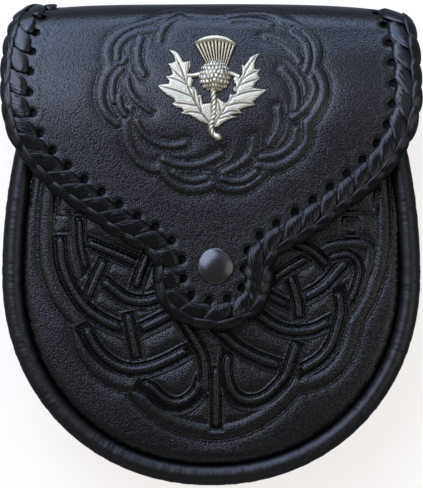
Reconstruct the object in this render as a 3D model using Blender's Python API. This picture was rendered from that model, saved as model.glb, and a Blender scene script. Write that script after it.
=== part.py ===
"""Leather sporran pouch, lying on its back with its front up.

+X is the wearer's view across the pouch, +Y runs from the rounded bottom to the fold of
the flap, and +Z from the back to the front. Units are metres. The origin is under the
middle of the pouch, on the surface that it lies on.

The pouch is a back panel, a U-shaped gusset, a domed front panel and a rolled rim, under
one flap that starts behind the back's top edge, folds over the mouth and ends in a tongue
with a press stud. A lace is braided round the flap's edge through a row of pierced holes.
"""

import math
from collections import namedtuple

import bmesh
import bpy
from mathutils import Vector

MM = 0.001
GAP = 0.3 * MM                    # clearance between pieces that touch

# The pouch's silhouette: a near-ellipse below its widest line, a parabola above it.
BODY_HALF_WIDTH = 89.0 * MM
WIDEST_Y = -12.7 * MM
BODY_DROP = 89.5 * MM             # from the widest line down to the lowest point
BOTTOM_SQUARENESS = 2.08          # 2 would be a plain ellipse
SIDE_CURVE = 500.0 * MM           # twice the radius of the sides' parabola
MOUTH_Y = 84.0 * MM
SIDE_STEPS = 7
BOTTOM_STEPS = 26

# Leather thicknesses
BACK_THICK = 2.2 * MM
FRONT_THICK = 2.4 * MM
GUSSET_THICK = 1.8 * MM
FLAP_THICK = 2.4 * MM
LOOP_THICK = 2.0 * MM

# The back panel lies on the surface below, and on the two strap loops above.
LOOP_CLEARANCE = 4.6 * MM         # room for a strap between a loop and the back
BACK_RISE = LOOP_THICK + LOOP_CLEARANCE
DRAPE_LOW_Y = -52.0 * MM
DRAPE_HIGH_Y = -4.0 * MM
BACK_TOP_Y = 86.0 * MM
BACK_INSET = 1.5 * MM

# Strap loops
LOOP_X = 44.0 * MM
LOOP_WIDTH = 24.0 * MM
LOOP_TOP_Y = 62.0 * MM
LOOP_BOTTOM_Y = 2.0 * MM
LOOP_TAB = 12.0 * MM              # sewn down at each end
LOOP_SLOPE = 7.0 * MM

# Front: heights above the surface, before the front leans back to the mouth
FRONT_EDGE_Z = 37.0 * MM
FRONT_DOME = 3.0 * MM
ROLL_RADIUS = 4.4 * MM
ROLL_PROUD = 1.5 * MM             # the rolled rim stands this much above the panel's edge
ROLL_SIDES = 10
FRONT_INSET = 2.0 * ROLL_RADIUS + GAP
DOME_CUTS_X = [x * MM for x in (-68, -52, -34, -12, 12, 34, 52, 68)]
DOME_CUTS_Y = [y * MM for y in (-88, -78, -64, -46, -26, -2, 22, 46.8, 60, 73)]

# Flap: straight over the front, a long lean, a turn over the mouth, then a tail on the back
FLAP_Z = 44.8 * MM                # its outer face over the front
LEAN_Y = 46.8 * MM                # where the lean starts
LEAN_RADIUS = 120.0 * MM
LEAN_ANGLE = math.radians(22.0)
TURN_RADIUS = 16.7 * MM
TURN_ANGLE = math.pi - LEAN_ANGLE
TURN_START = LEAN_Y + LEAN_RADIUS * LEAN_ANGLE
TURN_END = TURN_START + TURN_RADIUS * TURN_ANGLE
FLAP_TAIL = 19.0 * MM
TONGUE_SHIFT = 0.8 * MM           # the tongue hangs a little to the right
TONGUE_SHIFT_Y = 40.0 * MM
SIDE_DROOP = 1.6 * MM             # how far the flap's side edges sink
CORNER_DROOP = 3.2 * MM           # and how much more at the corners of the fold
DROOP_HALF_WIDTH = 86.0 * MM
CORNER_START = 82.0 * MM
CORNER_FULL = 110.0 * MM
CORNER_END = 120.0 * MM
LEAN_STEPS = 5                    # facets along the lean and round the turn
TURN_STEPS = 12
FLAP_CUTS_X = [x * MM for x in (-76, -62, -42, 0, 42, 62, 76)]

# Half of the flap's cut outline, from the tail to the tip of the tongue. "along" is the
# distance along the leather, equal to Y as far as the start of the lean.
EdgeRow = namedtuple("EdgeRow", "half_width along")
FLAP_OUTLINE = (                  # in mm
    EdgeRow(58.0, 139.0),
    EdgeRow(59.5, 132.0),
    EdgeRow(66.0, 122.0),
    EdgeRow(73.0, 113.5),
    EdgeRow(78.8, 102.5),
    EdgeRow(82.8, 92.0),
    EdgeRow(85.6, 78.0),
    EdgeRow(86.1, 64.0),
    EdgeRow(84.0, 52.5),
    EdgeRow(80.4, 42.8),
    EdgeRow(73.4, 33.2),
    EdgeRow(63.0, 23.4),
    EdgeRow(49.0, 12.8),
    EdgeRow(38.6, 5.8),
    EdgeRow(28.0, -0.8),
    EdgeRow(22.6, -6.6),
    EdgeRow(21.7, -15.0),
    EdgeRow(20.0, -22.4),
    EdgeRow(14.6, -28.6),
    EdgeRow(6.5, -32.0),
    EdgeRow(0.0, -32.6),
)
OUTLINE_PARTS = 3                 # straight pieces between two rows of the table

# Lacing
LACE_HOLE_RADIUS = 2.25 * MM
LACE_HOLE_INSET = 9.0 * MM
LACE_PITCH = 9.1 * MM
TONGUE_PITCH = 8.0 * MM           # the holes are closer round the tongue
LACE_END = TURN_START + 26.0 * MM # the lacing stops here, behind the fold
LACE_STRAP_REACH = 7.2 * MM       # from the leather's edge in to the holes
LACE_BRAID_REACH = 3.6 * MM
LACE_STRAP_THICK = 1.3 * MM
LACE_EDGE_BULGE = 3.0 * MM
LACE_EDGE_DIP = 2.5 * MM
LACE_SLANT = 4.6 * MM             # how far a strap's outer end runs ahead of its hole
LACE_STEPS = 4                    # sections from one hole to the next
LACE_LONG_PITCH = 11.9 * MM       # past this the steps are doubled
LACE_GAP = 0.7 * MM               # clearance to the leather that it wraps

# Press stud
STUD_X = 1.8 * MM
STUD_Y = -8.8 * MM
CAP_RADIUS = 7.65 * MM
CAP_HEIGHT = 3.4 * MM
POST_RADIUS = 1.8 * MM
CLASP_RADIUS = 5.6 * MM
STUD_SIDES = 16

# Thistle badge, placed along the flap
BADGE_X = 1.2 * MM
BADGE_ALONG = 66.0 * MM
BADGE_PLATE = 0.9 * MM            # height of its edges
LOBE_ROOT_HEIGHT = 2.6 * MM       # height of a leaf lobe's midrib
LOBE_TIP_HEIGHT = 1.3 * MM
POST_SPREAD = 9.0 * MM            # badge posts, each side of BADGE_X
BADGE_POST_RADIUS = 1.0 * MM

LEATHER_BLACK = (0.022, 0.023, 0.028)
LACE_BLACK = (0.018, 0.018, 0.022)
BACK_BLACK = (0.035, 0.034, 0.036)
SILVER = (0.78, 0.77, 0.74)
GUNMETAL = (0.20, 0.20, 0.22)


# ---------------------------------------------------------------- meshes and materials

def finish(name, mesh, colour, roughness, metallic=0.0, smooth_angle=40.0):
    """Give a closed mesh a name, an object and a material of its own."""
    built = bmesh.new()
    built.from_mesh(mesh)
    bmesh.ops.recalc_face_normals(built, faces=built.faces)
    built.to_mesh(mesh)
    built.free()
    material = bpy.data.materials.new(name)
    material.use_nodes = True
    shader = material.node_tree.nodes["Principled BSDF"]
    shader.inputs["Base Color"].default_value = (*colour, 1.0)
    shader.inputs["Roughness"].default_value = roughness
    shader.inputs["Metallic"].default_value = metallic
    mesh.materials.clear()
    mesh.materials.append(material)
    mesh.shade_smooth()
    mesh.set_sharp_from_angle(angle=math.radians(smooth_angle))
    obj = bpy.data.objects.new(name, mesh)
    bpy.context.scene.collection.objects.link(obj)
    return obj


def loft(rings, closed_ends=True):
    """Join rings of points, all with the same count, into one closed mesh."""
    built = bmesh.new()
    rows = [[built.verts.new(point) for point in ring] for ring in rings]
    for low, high in zip(rows, rows[1:]):
        for index in range(len(low)):
            after = (index + 1) % len(low)
            built.faces.new((low[index], low[after], high[after], high[index]))
    if closed_ends:
        built.faces.new(rows[0])
        built.faces.new(rows[-1])
    bmesh.ops.recalc_face_normals(built, faces=built.faces)
    mesh = bpy.data.meshes.new("loft")
    built.to_mesh(mesh)
    built.free()
    return mesh


def sheet(outline, columns, rows, bottom, top):
    """A closed sheet over an outline; bottom and top give its faces' heights at (x, y)."""
    built = bmesh.new()
    built.faces.new([built.verts.new((x, y, 0.0)) for x, y in outline])
    cuts = [(Vector((x, 0, 0)), Vector((1, 0, 0))) for x in columns]
    cuts += [(Vector((0, y, 0)), Vector((0, 1, 0))) for y in rows]
    for point, normal in cuts:
        parts = built.verts[:] + built.edges[:] + built.faces[:]
        bmesh.ops.bisect_plane(built, geom=parts, dist=1e-7, plane_co=point, plane_no=normal)
    lower = built.verts[:]
    raised = bmesh.ops.extrude_face_region(built, geom=built.faces[:], use_keep_orig=True)
    upper = [item for item in raised["geom"] if isinstance(item, bmesh.types.BMVert)]
    for vert in lower:
        vert.co.z = bottom(vert.co.x, vert.co.y)
    for vert in upper:
        vert.co.z = top(vert.co.x, vert.co.y)
    bmesh.ops.recalc_face_normals(built, faces=built.faces)
    mesh = bpy.data.meshes.new("sheet")
    built.to_mesh(mesh)
    built.free()
    return mesh


def turned(profile, sides, x=0.0, y=0.0):
    """A solid turned about a vertical axis at (x, y), from (radius, height) pairs."""
    rings = []
    for radius, height in profile:
        angles = [2.0 * math.pi * side / sides for side in range(sides)]
        rings.append([(x + radius * math.cos(a), y + radius * math.sin(a), height) for a in angles])
    return loft(rings)


def combine(base_mesh, other_meshes, operation):
    """Boolean a mesh with several others and return the new mesh."""
    group = bpy.data.collections.new("helpers")
    helpers = [bpy.data.objects.new("helper", mesh) for mesh in other_meshes]
    for helper in helpers:
        group.objects.link(helper)
    bpy.context.scene.collection.children.link(group)
    base = bpy.data.objects.new("base", base_mesh)
    bpy.context.scene.collection.objects.link(base)
    modifier = base.modifiers.new("combine", "BOOLEAN")
    modifier.operation = operation
    modifier.solver = "EXACT"
    modifier.operand_type = "COLLECTION"
    modifier.collection = group
    depsgraph = bpy.context.evaluated_depsgraph_get()
    result = bpy.data.meshes.new_from_object(base.evaluated_get(depsgraph))
    for obj in [base, *helpers]:
        bpy.data.objects.remove(obj)
    bpy.data.collections.remove(group)
    return result


def thick_line(points, thickness):
    """A closed polygon of the given thickness along a 2D line of points."""
    left, right = [], []
    for index, point in enumerate(points):
        before = Vector(points[max(index - 1, 0)])
        after = Vector(points[min(index + 1, len(points) - 1)])
        along = (after - before).normalized()
        across = Vector((-along.y, along.x)) * thickness / 2.0
        left.append(Vector(point) + across)
        right.append(Vector(point) - across)
    return left + right[::-1]


def smooth_step(value, low, high):
    share = min(max((value - low) / (high - low), 0.0), 1.0)
    return share * share * (3.0 - 2.0 * share)


# ---------------------------------------------------------------- the pouch's outline

def rim_stations():
    """(point, outward normal) round the silhouette, from the mouth's right corner to its left."""
    right = []
    for step in range(SIDE_STEPS):
        rise = (MOUTH_Y - WIDEST_Y) * (1.0 - step / SIDE_STEPS)
        point = Vector((BODY_HALF_WIDTH - rise * rise / SIDE_CURVE, WIDEST_Y + rise))
        right.append((point, Vector((1.0, 2.0 * rise / SIDE_CURVE)).normalized()))
    power = BOTTOM_SQUARENESS
    for step in range(BOTTOM_STEPS // 2):
        angle = -math.pi * step / BOTTOM_STEPS
        across = math.cos(angle) / BODY_HALF_WIDTH
        down = -math.sin(angle) / BODY_DROP
        radius = (across ** power + down ** power) ** (-1.0 / power)
        point = Vector((radius * math.cos(angle), WIDEST_Y + radius * math.sin(angle)))
        normal = Vector((
            (radius * across) ** (power - 1.0) / BODY_HALF_WIDTH,
            -(radius * down) ** (power - 1.0) / BODY_DROP,
        ))
        right.append((point, normal.normalized()))
    bottom = (Vector((0.0, WIDEST_Y - BODY_DROP)), Vector((0.0, -1.0)))
    left = [(Vector((-p.x, p.y)), Vector((-n.x, n.y))) for p, n in reversed(right)]
    return [*right, bottom, *left]


def inset_outline(inset, top_y):
    """The silhouette moved in by an inset, closed by a straight top edge at top_y."""
    points = [point - normal * inset for point, normal in rim_stations()]
    below = [point for point in points if point.y < top_y - 2.0 * MM]
    rise = top_y - WIDEST_Y
    corner = BODY_HALF_WIDTH - rise * rise / SIDE_CURVE - inset
    return [Vector((corner, top_y)), *below, Vector((-corner, top_y))]


def half_width(y):
    """Half of the pouch's width at y."""
    if y >= WIDEST_Y:
        return BODY_HALF_WIDTH - (y - WIDEST_Y) ** 2 / SIDE_CURVE
    share = min((WIDEST_Y - y) / BODY_DROP, 1.0)
    return BODY_HALF_WIDTH * (1.0 - share ** BOTTOM_SQUARENESS) ** (1.0 / BOTTOM_SQUARENESS)


# ---------------------------------------------------------------- heights

def back_outer_z(y):
    return BACK_RISE * smooth_step(y, DRAPE_LOW_Y, DRAPE_HIGH_Y)


def back_inner_z(y):
    return back_outer_z(y) + BACK_THICK


def front_edge_z(y):
    """Height of the front panel's edge, which leans back with the flap."""
    reach = max(y - LEAN_Y, 0.0)
    radius = LEAN_RADIUS - (FLAP_Z - FRONT_EDGE_Z - FRONT_DOME)
    return FRONT_EDGE_Z - (radius - math.sqrt(radius * radius - reach * reach))


def front_outer_z(x, y):
    """The front panel's domed outer face."""
    across = min(abs(x) / max(half_width(y) - ROLL_RADIUS, MM), 1.0)
    down = min(max(WIDEST_Y - y, 0.0) / (BODY_DROP - ROLL_RADIUS), 1.0)
    return front_edge_z(y) + FRONT_DOME * (1.0 - across ** 2.5) * (1.0 - down ** 2.5)


def roll_centre_z(y):
    return front_edge_z(y) + ROLL_PROUD - ROLL_RADIUS


def gusset_top_z(y):
    return roll_centre_z(y) - ROLL_RADIUS - GAP


# ---------------------------------------------------------------- the flap's fold

def bend(x, along, height):
    """Fold a point of the flat flap; height is measured out of its outer face."""
    droop = SIDE_DROOP + CORNER_DROOP * smooth_step(along, CORNER_START, CORNER_FULL)
    droop *= 1.0 - smooth_step(along, CORNER_END, TURN_END)
    height -= droop * min(abs(x) / DROOP_HALF_WIDTH, 1.0) ** 4
    if along <= LEAN_Y:
        return Vector((x, along, FLAP_Z + height))
    lean_z = FLAP_Z - LEAN_RADIUS
    if along <= TURN_START:
        angle = (along - LEAN_Y) / LEAN_RADIUS
        radius = LEAN_RADIUS + height
        return Vector((x, LEAN_Y + radius * math.sin(angle), lean_z + radius * math.cos(angle)))
    turn_y = LEAN_Y + (LEAN_RADIUS - TURN_RADIUS) * math.sin(LEAN_ANGLE)
    turn_z = lean_z + (LEAN_RADIUS - TURN_RADIUS) * math.cos(LEAN_ANGLE)
    if along <= TURN_END:
        angle = LEAN_ANGLE + (along - TURN_START) / TURN_RADIUS
        radius = TURN_RADIUS + height
        return Vector((x, turn_y + radius * math.sin(angle), turn_z + radius * math.cos(angle)))
    return Vector((x, turn_y - (along - TURN_END), turn_z - TURN_RADIUS - height))


def bend_mesh(mesh):
    for vert in mesh.vertices:
        vert.co = bend(*vert.co)


def tongue_shift(along):
    return TONGUE_SHIFT * (1.0 - smooth_step(along, 0.0, TONGUE_SHIFT_Y))


def flap_edge():
    """The flap's cut edge as points of its flat pattern, from the right tail to the left."""
    rows = [Vector((row.half_width, row.along)) * MM for row in FLAP_OUTLINE]
    rows = [*rows, *(Vector((-row.x, row.y)) for row in reversed(rows[:-1]))]
    padded = [2.0 * rows[0] - rows[1], *rows, 2.0 * rows[-1] - rows[-2]]
    points = []
    for first, start, end, last in zip(padded, padded[1:], padded[2:], padded[3:]):
        for part in range(OUTLINE_PARTS):
            t = part / OUTLINE_PARTS
            point = 0.5 * (
                2.0 * start
                + (end - first) * t
                + (2.0 * first - 5.0 * start + 4.0 * end - last) * t * t
                + (3.0 * start - first - 3.0 * end + last) * t ** 3
            )
            points.append(point)
    points.append(rows[-1])
    return [Vector((point.x + tongue_shift(point.y), point.y)) for point in points]


def edge_track():
    """(distance, point, outward normal) along the flap's edge, from the right tail."""
    points = flap_edge()
    track = []
    distance = 0.0
    for index, point in enumerate(points):
        if index:
            distance += (point - points[index - 1]).length
        before = points[max(index - 1, 0)]
        after = points[min(index + 1, len(points) - 1)]
        along = (after - before).normalized()
        track.append((distance, point, Vector((-along.y, along.x))))
    return track


def on_track(track, distance, outward):
    """The pattern point at a distance along the track, moved outward from the edge."""
    distance = min(max(distance, track[0][0]), track[-1][0])
    for (d0, p0, n0), (d1, p1, n1) in zip(track, track[1:]):
        if distance <= d1:
            share = (distance - d0) / (d1 - d0)
            normal = n0.lerp(n1, share).normalized()
            return p0.lerp(p1, share) + normal * outward
    return track[-1][1] + track[-1][2] * outward


def lace_holes():
    """(distance, pattern point) of the lacing holes, one pitch apart on their inset line."""
    track = edge_track()
    step = 0.5 * MM
    distance = track[0][0]
    last = on_track(track, distance, -LACE_HOLE_INSET)
    walked = 0.0
    holes = []
    while distance < track[-1][0]:
        distance += step
        point = on_track(track, distance, -LACE_HOLE_INSET)
        if point.y <= LACE_END:
            walked += (point - last).length
        last = point
        pitch = TONGUE_PITCH if point.y < 0.0 else LACE_PITCH
        if walked >= pitch:
            walked -= pitch
            holes.append((distance, point))
    return holes


# ---------------------------------------------------------------- the pieces

def make_back_panel():
    outline = inset_outline(BACK_INSET, BACK_TOP_Y)
    steps = 8
    rows = [DRAPE_LOW_Y + (DRAPE_HIGH_Y - DRAPE_LOW_Y) * step / steps for step in range(steps + 1)]
    mesh = sheet(outline, [], rows, lambda x, y: back_outer_z(y), lambda x, y: back_inner_z(y))
    return finish("back_panel", mesh, BACK_BLACK, 0.62)


def make_gusset():
    """A strip with turned-out seams: (outward offset, share of the height, extra height)."""
    half = GUSSET_THICK / 2.0
    middle = (
        (-2.0 * MM, 0.0, half),
        (-5.2 * MM, 0.0, half),
        (-7.0 * MM, 0.0, 2.6 * MM),
        (-8.6 * MM, 0.5, 0.0),
        (-7.0 * MM, 1.0, -2.6 * MM),
        (-5.2 * MM, 1.0, -half),
        (-2.0 * MM, 1.0, -half),
    )
    rings = []
    for point, normal in rim_stations():
        line = []
        for offset, share, extra in middle:
            y = point.y + normal.y * offset
            low = back_inner_z(y) + GAP
            line.append((offset, low + (gusset_top_z(y) - low) * share + extra))
        ring = []
        for offset, z in thick_line(line, GUSSET_THICK):
            flat = point + normal * offset
            ring.append((flat.x, flat.y, z))
        rings.append(ring)
    return finish("gusset", loft(rings), LEATHER_BLACK, 0.55)


def make_front_panel():
    outline = inset_outline(FRONT_INSET, MOUTH_Y)
    mesh = sheet(
        outline, DOME_CUTS_X, DOME_CUTS_Y,
        lambda x, y: front_outer_z(x, y) - FRONT_THICK,
        front_outer_z,
    )
    return finish("front_panel", mesh, LEATHER_BLACK, 0.5)


def make_edge_roll():
    rings = []
    for point, normal in rim_stations():
        ring = []
        for side in range(ROLL_SIDES):
            angle = 2.0 * math.pi * side / ROLL_SIDES
            flat = point + normal * (ROLL_RADIUS * (math.cos(angle) - 1.0))
            height = roll_centre_z(flat.y) + ROLL_RADIUS * math.sin(angle)
            ring.append((flat.x, flat.y, height))
        rings.append(ring)
    return finish("edge_roll", loft(rings), LEATHER_BLACK, 0.4, smooth_angle=60.0)


def flap_punches():
    """Cutters for the lacing holes, the stud's post and the badge's posts."""
    low, high = -FLAP_THICK - MM, MM
    cutters = []
    for _, hole in lace_holes():
        profile = ((LACE_HOLE_RADIUS, low), (LACE_HOLE_RADIUS, high))
        cutters.append(turned(profile, 8, hole.x, hole.y))
    profile = ((POST_RADIUS + GAP, low), (POST_RADIUS + GAP, high))
    cutters.append(turned(profile, 12, STUD_X, STUD_Y))
    profile = ((BADGE_POST_RADIUS + GAP, low), (BADGE_POST_RADIUS + GAP, high))
    for side in (-1.0, 1.0):
        cutters.append(turned(profile, 8, BADGE_X + side * POST_SPREAD, BADGE_ALONG))
    return cutters


def make_flap():
    """A flat pattern, punched, then folded over the mouth."""
    edge = flap_edge()
    tail_width = edge[0].x
    outline = [(tail_width, TURN_END + FLAP_TAIL), *edge, (-tail_width, TURN_END + FLAP_TAIL)]
    lean = (TURN_START - LEAN_Y) / LEAN_STEPS
    turn = (TURN_END - TURN_START) / TURN_STEPS
    rows = [LEAN_Y + lean * step for step in range(LEAN_STEPS)]
    rows += [TURN_START + turn * step for step in range(TURN_STEPS + 1)]
    pattern = sheet(outline, FLAP_CUTS_X, rows, lambda x, y: -FLAP_THICK, lambda x, y: 0.0)
    mesh = combine(pattern, flap_punches(), "DIFFERENCE")
    built = bmesh.new()
    built.from_mesh(mesh)
    bmesh.ops.triangulate(built, faces=built.faces)
    built.to_mesh(mesh)
    built.free()
    bend_mesh(mesh)
    return finish("flap", mesh, LEATHER_BLACK, 0.5)


def make_edge_lacing():
    """A band wrapped over the flap's edge, with a slanting tooth at each hole."""
    track = edge_track()
    low, high = -FLAP_THICK - LACE_GAP, LACE_GAP
    thick = LACE_STRAP_THICK
    rings = []
    distances = [distance for distance, _ in lace_holes()]
    for here, after in zip(distances, distances[1:]):
        steps = LACE_STEPS if after - here < LACE_LONG_PITCH else 2 * LACE_STEPS
        for step in range(steps):
            share = (step + 0.5) / steps
            strap = abs(share - 0.5) > 0.25
            reach = LACE_STRAP_REACH if strap else LACE_BRAID_REACH
            bulge = LACE_EDGE_BULGE if strap else LACE_EDGE_DIP
            section = (
                (-reach, high),
                (-reach, high + thick),
                (bulge / 2.0, high + thick),
                (bulge, -FLAP_THICK / 2.0),
                (bulge / 2.0, low - thick),
                (-reach, low - thick),
                (-reach, low),
                (LACE_GAP, low),
                (LACE_GAP, high),
            )
            ring = []
            for outward, height in section:
                lead = LACE_SLANT * (1.0 + outward / LACE_STRAP_REACH)
                flat = on_track(track, here + (after - here) * share + lead, outward)
                ring.append(bend(flat.x, flat.y, height))
            rings.append(ring)
    return finish("edge_lacing", loft(rings), LACE_BLACK, 0.35)


def make_snap_cap():
    base = FLAP_Z + GAP
    rings = 5
    profile = [(POST_RADIUS, FLAP_Z - FLAP_THICK), (POST_RADIUS, base)]
    profile.append((CAP_RADIUS - 0.5 * MM, base))
    for step in range(rings):
        angle = math.radians(12.0 + 72.0 * step / (rings - 1))
        profile.append((CAP_RADIUS * math.cos(angle) / math.cos(math.radians(12.0)),
                        base + CAP_HEIGHT * math.sin(angle)))
    mesh = turned(profile, STUD_SIDES, STUD_X, STUD_Y)
    return finish("snap_cap", mesh, GUNMETAL, 0.3, metallic=1.0)


def make_snap_clasp():
    """The hidden half of the press stud, between the tongue and the front panel."""
    low = front_outer_z(STUD_X, STUD_Y) + GAP
    high = FLAP_Z - FLAP_THICK - GAP
    shoulder = low + (high - low) * 0.5
    profile = (
        (CLASP_RADIUS, low), (CLASP_RADIUS, shoulder),
        (CLASP_RADIUS - 1.2 * MM, shoulder), (CLASP_RADIUS - 1.2 * MM, high),
    )
    return finish("snap_clasp", turned(profile, STUD_SIDES, STUD_X, STUD_Y), GUNMETAL, 0.35, 1.0)


def make_strap_loop(name, side):
    """A strip sewn to the back at both ends, with room for a strap behind it."""
    high = BACK_RISE - GAP - LOOP_THICK / 2.0
    low = LOOP_THICK / 2.0
    line = (
        (LOOP_BOTTOM_Y, high),
        (LOOP_BOTTOM_Y + LOOP_TAB, high),
        (LOOP_BOTTOM_Y + LOOP_TAB + LOOP_SLOPE / 2.0, (high + low) / 2.0),
        (LOOP_BOTTOM_Y + LOOP_TAB + LOOP_SLOPE, low),
        (LOOP_TOP_Y - LOOP_TAB - LOOP_SLOPE, low),
        (LOOP_TOP_Y - LOOP_TAB - LOOP_SLOPE / 2.0, (high + low) / 2.0),
        (LOOP_TOP_Y - LOOP_TAB, high),
        (LOOP_TOP_Y, high),
    )
    polygon = thick_line(line, LOOP_THICK)
    centre = side * LOOP_X
    rings = []
    for x in (centre - LOOP_WIDTH / 2.0, centre + LOOP_WIDTH / 2.0):
        rings.append([(x, y, z) for y, z in polygon])
    return finish(name, loft(rings), BACK_BLACK, 0.55)


# ---------------------------------------------------------------- the thistle badge

def blade(lobe):
    """A pointed leaf lobe with a raised midrib, from its root to its tip."""
    root = Vector((lobe.root_x, lobe.root_along)) * MM
    tip = Vector((lobe.tip_x, lobe.tip_along)) * MM
    along = tip - root
    across = Vector((-along.y, along.x)).normalized()
    rings = []
    for share, spread in ((0.0, 0.6), (0.45, 1.0), (1.0, 0.12)):
        centre = root + along * share + across * lobe.bow * MM * math.sin(math.pi * share)
        half = across * lobe.width * MM * spread / 2.0
        ridge = LOBE_ROOT_HEIGHT + (LOBE_TIP_HEIGHT - LOBE_ROOT_HEIGHT) * share
        edge = min(BADGE_PLATE, ridge * 0.7)
        left, right = centre + half, centre - half
        rings.append([
            (left.x, left.y, GAP), (left.x, left.y, GAP + edge),
            (centre.x, centre.y, GAP + ridge),
            (right.x, right.y, GAP + edge), (right.x, right.y, GAP),
        ])
    return loft(rings)


# Lobes of the two leaves, seen from the front, in mm on the flap's pattern
Lobe = namedtuple("Lobe", "root_x root_along tip_x tip_along width bow")
LEFT_LEAF = (
    Lobe(-0.2, 48.8, -9.6, 66.5, 4.2, -0.8),
    Lobe(-9.0, 63.5, -18.0, 83.0, 6.4, -1.2),
    Lobe(-9.8, 66.0, -18.4, 77.2, 4.6, 0.0),
    Lobe(-8.6, 63.0, -19.7, 71.6, 5.0, 0.0),
    Lobe(-6.6, 58.6, -22.2, 67.8, 6.0, 0.6),
    Lobe(-4.0, 54.0, -16.7, 60.2, 5.0, 0.8),
    Lobe(-1.8, 50.6, -12.9, 56.0, 4.4, 0.8),
    Lobe(-10.6, 66.0, -8.9, 78.4, 4.6, 0.0),
    Lobe(-8.6, 63.6, -2.6, 72.4, 4.6, 0.0),
    Lobe(-5.6, 57.0, -6.3, 66.4, 4.2, 0.0),
    Lobe(-3.6, 54.0, -3.9, 64.2, 4.0, 0.0),
)
RIGHT_LEAF = (
    Lobe(1.4, 49.6, 11.2, 66.0, 4.4, 0.8),
    Lobe(10.6, 63.0, 20.3, 81.4, 6.4, 1.2),
    Lobe(12.0, 65.5, 20.6, 74.8, 4.4, 0.0),
    Lobe(11.0, 62.6, 20.5, 70.6, 4.4, 0.0),
    Lobe(8.6, 59.0, 23.3, 66.0, 6.0, -0.6),
    Lobe(5.6, 54.8, 18.4, 59.6, 5.0, -0.8),
    Lobe(3.6, 51.4, 13.1, 56.2, 3.8, -0.6),
    Lobe(2.4, 49.4, 10.4, 54.4, 3.0, -0.4),
    Lobe(11.6, 66.0, 12.7, 76.8, 4.6, 0.0),
    Lobe(10.6, 63.6, 5.6, 71.6, 4.8, 0.0),
    Lobe(6.6, 57.0, 8.0, 64.4, 4.6, 0.0),
    Lobe(3.2, 54.0, 3.4, 61.6, 3.6, 0.0),
)
BULB_CENTRE = (1.4, 72.0)
BULB_RADIUS = 6.4
BULB_HEIGHT = 4.4
CROWN_FLUTES = 9
STEM = ((0.6, 67.5), (0.9, 62.5), (1.0, 58.0), (0.5, 53.0), (1.6, 48.6), (4.4, 45.8))


def bulb():
    """The thistle's scaly bulb: a flattened dome with alternate points raised."""
    sides, levels = 12, 4
    rings = []
    for level in range(levels + 1):
        angle = math.radians(90.0 * level / (levels + 0.5))
        ring = []
        for side in range(sides):
            turn = 2.0 * math.pi * (side + 0.5 * (level % 2)) / sides
            radius = BULB_RADIUS * math.cos(angle) * (1.0 + 0.05 * (side % 2))
            ring.append((
                (BULB_CENTRE[0] + radius * math.cos(turn)) * MM,
                (BULB_CENTRE[1] + radius * math.sin(turn)) * MM,
                GAP + (BADGE_PLATE if level == 0 else BULB_HEIGHT * math.sin(angle) * MM),
            ))
        rings.append(ring)
    foot = [(x, y, GAP) for x, y, _ in rings[0]]
    return loft([foot, *rings])


def crown():
    """The thistle's fluted crown, a fan of ridges that opens upwards."""
    low_along, high_along = 75.6, 86.8
    low_half, high_half = 4.4, 8.9
    centre, arch = 1.5, 2.2
    count = 2 * CROWN_FLUTES
    rings = []
    for step in range(count + 1):
        across = 2.0 * step / count - 1.0
        rise = 3.4 if step % 2 else 2.2
        height = rise - 0.9 * across * across
        top = high_along + arch * (1.0 - across * across)
        low_x, high_x = centre + across * low_half, centre + across * high_half
        lip_x = centre + across * (high_half + 0.5)
        ring = [
            (low_x, low_along, 0.0), (low_x, low_along, height * 0.8),
            (high_x, top - 1.4, height), (lip_x, top - 1.2, 3.9 - 0.9 * across * across),
            (lip_x, top, 3.3 - 0.9 * across * across), (lip_x, top, 0.0),
        ]
        rings.append([(x * MM, y * MM, GAP + z * MM) for x, y, z in ring])
    return loft(rings)


def stem():
    """The rope-like stalk, a tube whose square section twists as it goes."""
    points = [Vector(point) for point in STEM]
    rings = []
    sides, parts = 6, 2
    for index in range(len(points) - 1):
        for part in range(parts):
            share = part / parts
            centre = points[index].lerp(points[index + 1], share)
            along = (points[index + 1] - points[index]).normalized()
            across = Vector((-along.y, along.x))
            twist = 0.9 * (index * parts + part)
            ring = []
            for side in range(sides):
                angle = 2.0 * math.pi * side / sides
                radius = 1.5 * (1.0 + 0.16 * math.cos(2.0 * (angle - twist)))
                flat = centre + across * radius * math.cos(angle)
                height = max(1.2 + radius * math.sin(angle), 0.0)
                ring.append((flat.x * MM, flat.y * MM, GAP + height * MM))
            rings.append(ring)
    return loft(rings)


def make_thistle_badge():
    """Bulb, crown, stalk, leaves and the two posts, cast as one and laid to the flap's lean."""
    pieces = [crown(), stem()]
    pieces += [blade(lobe) for lobe in LEFT_LEAF + RIGHT_LEAF]
    post = ((BADGE_POST_RADIUS, -FLAP_THICK), (BADGE_POST_RADIUS, GAP + 0.5 * MM))
    for side in (-1.0, 1.0):
        pieces.append(turned(post, 8, BADGE_X + side * POST_SPREAD, BADGE_ALONG))
    mesh = combine(bulb(), pieces, "UNION")
    bend_mesh(mesh)
    return finish("thistle_badge", mesh, SILVER, 0.25, metallic=1.0)


def main():
    for obj in list(bpy.data.objects):
        bpy.data.objects.remove(obj)
    make_back_panel()
    make_gusset()
    make_front_panel()
    make_edge_roll()
    make_flap()
    make_edge_lacing()
    make_thistle_badge()
    make_snap_cap()
    make_snap_clasp()
    make_strap_loop("strap_loop_left", -1.0)
    make_strap_loop("strap_loop_right", 1.0)


main()
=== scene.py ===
"""A leather sporran pouch, lying on its back: its finished pieces, materials, light and camera.

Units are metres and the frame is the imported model's: +X to the right, +Y from the rounded
bottom to the fold of the flap, +Z from the back to the front. Names that end in PX hold
places in the photograph's frame of 423 x 488 pixels, which photo_place() turns into metres.
"""

import math
from collections import namedtuple

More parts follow.
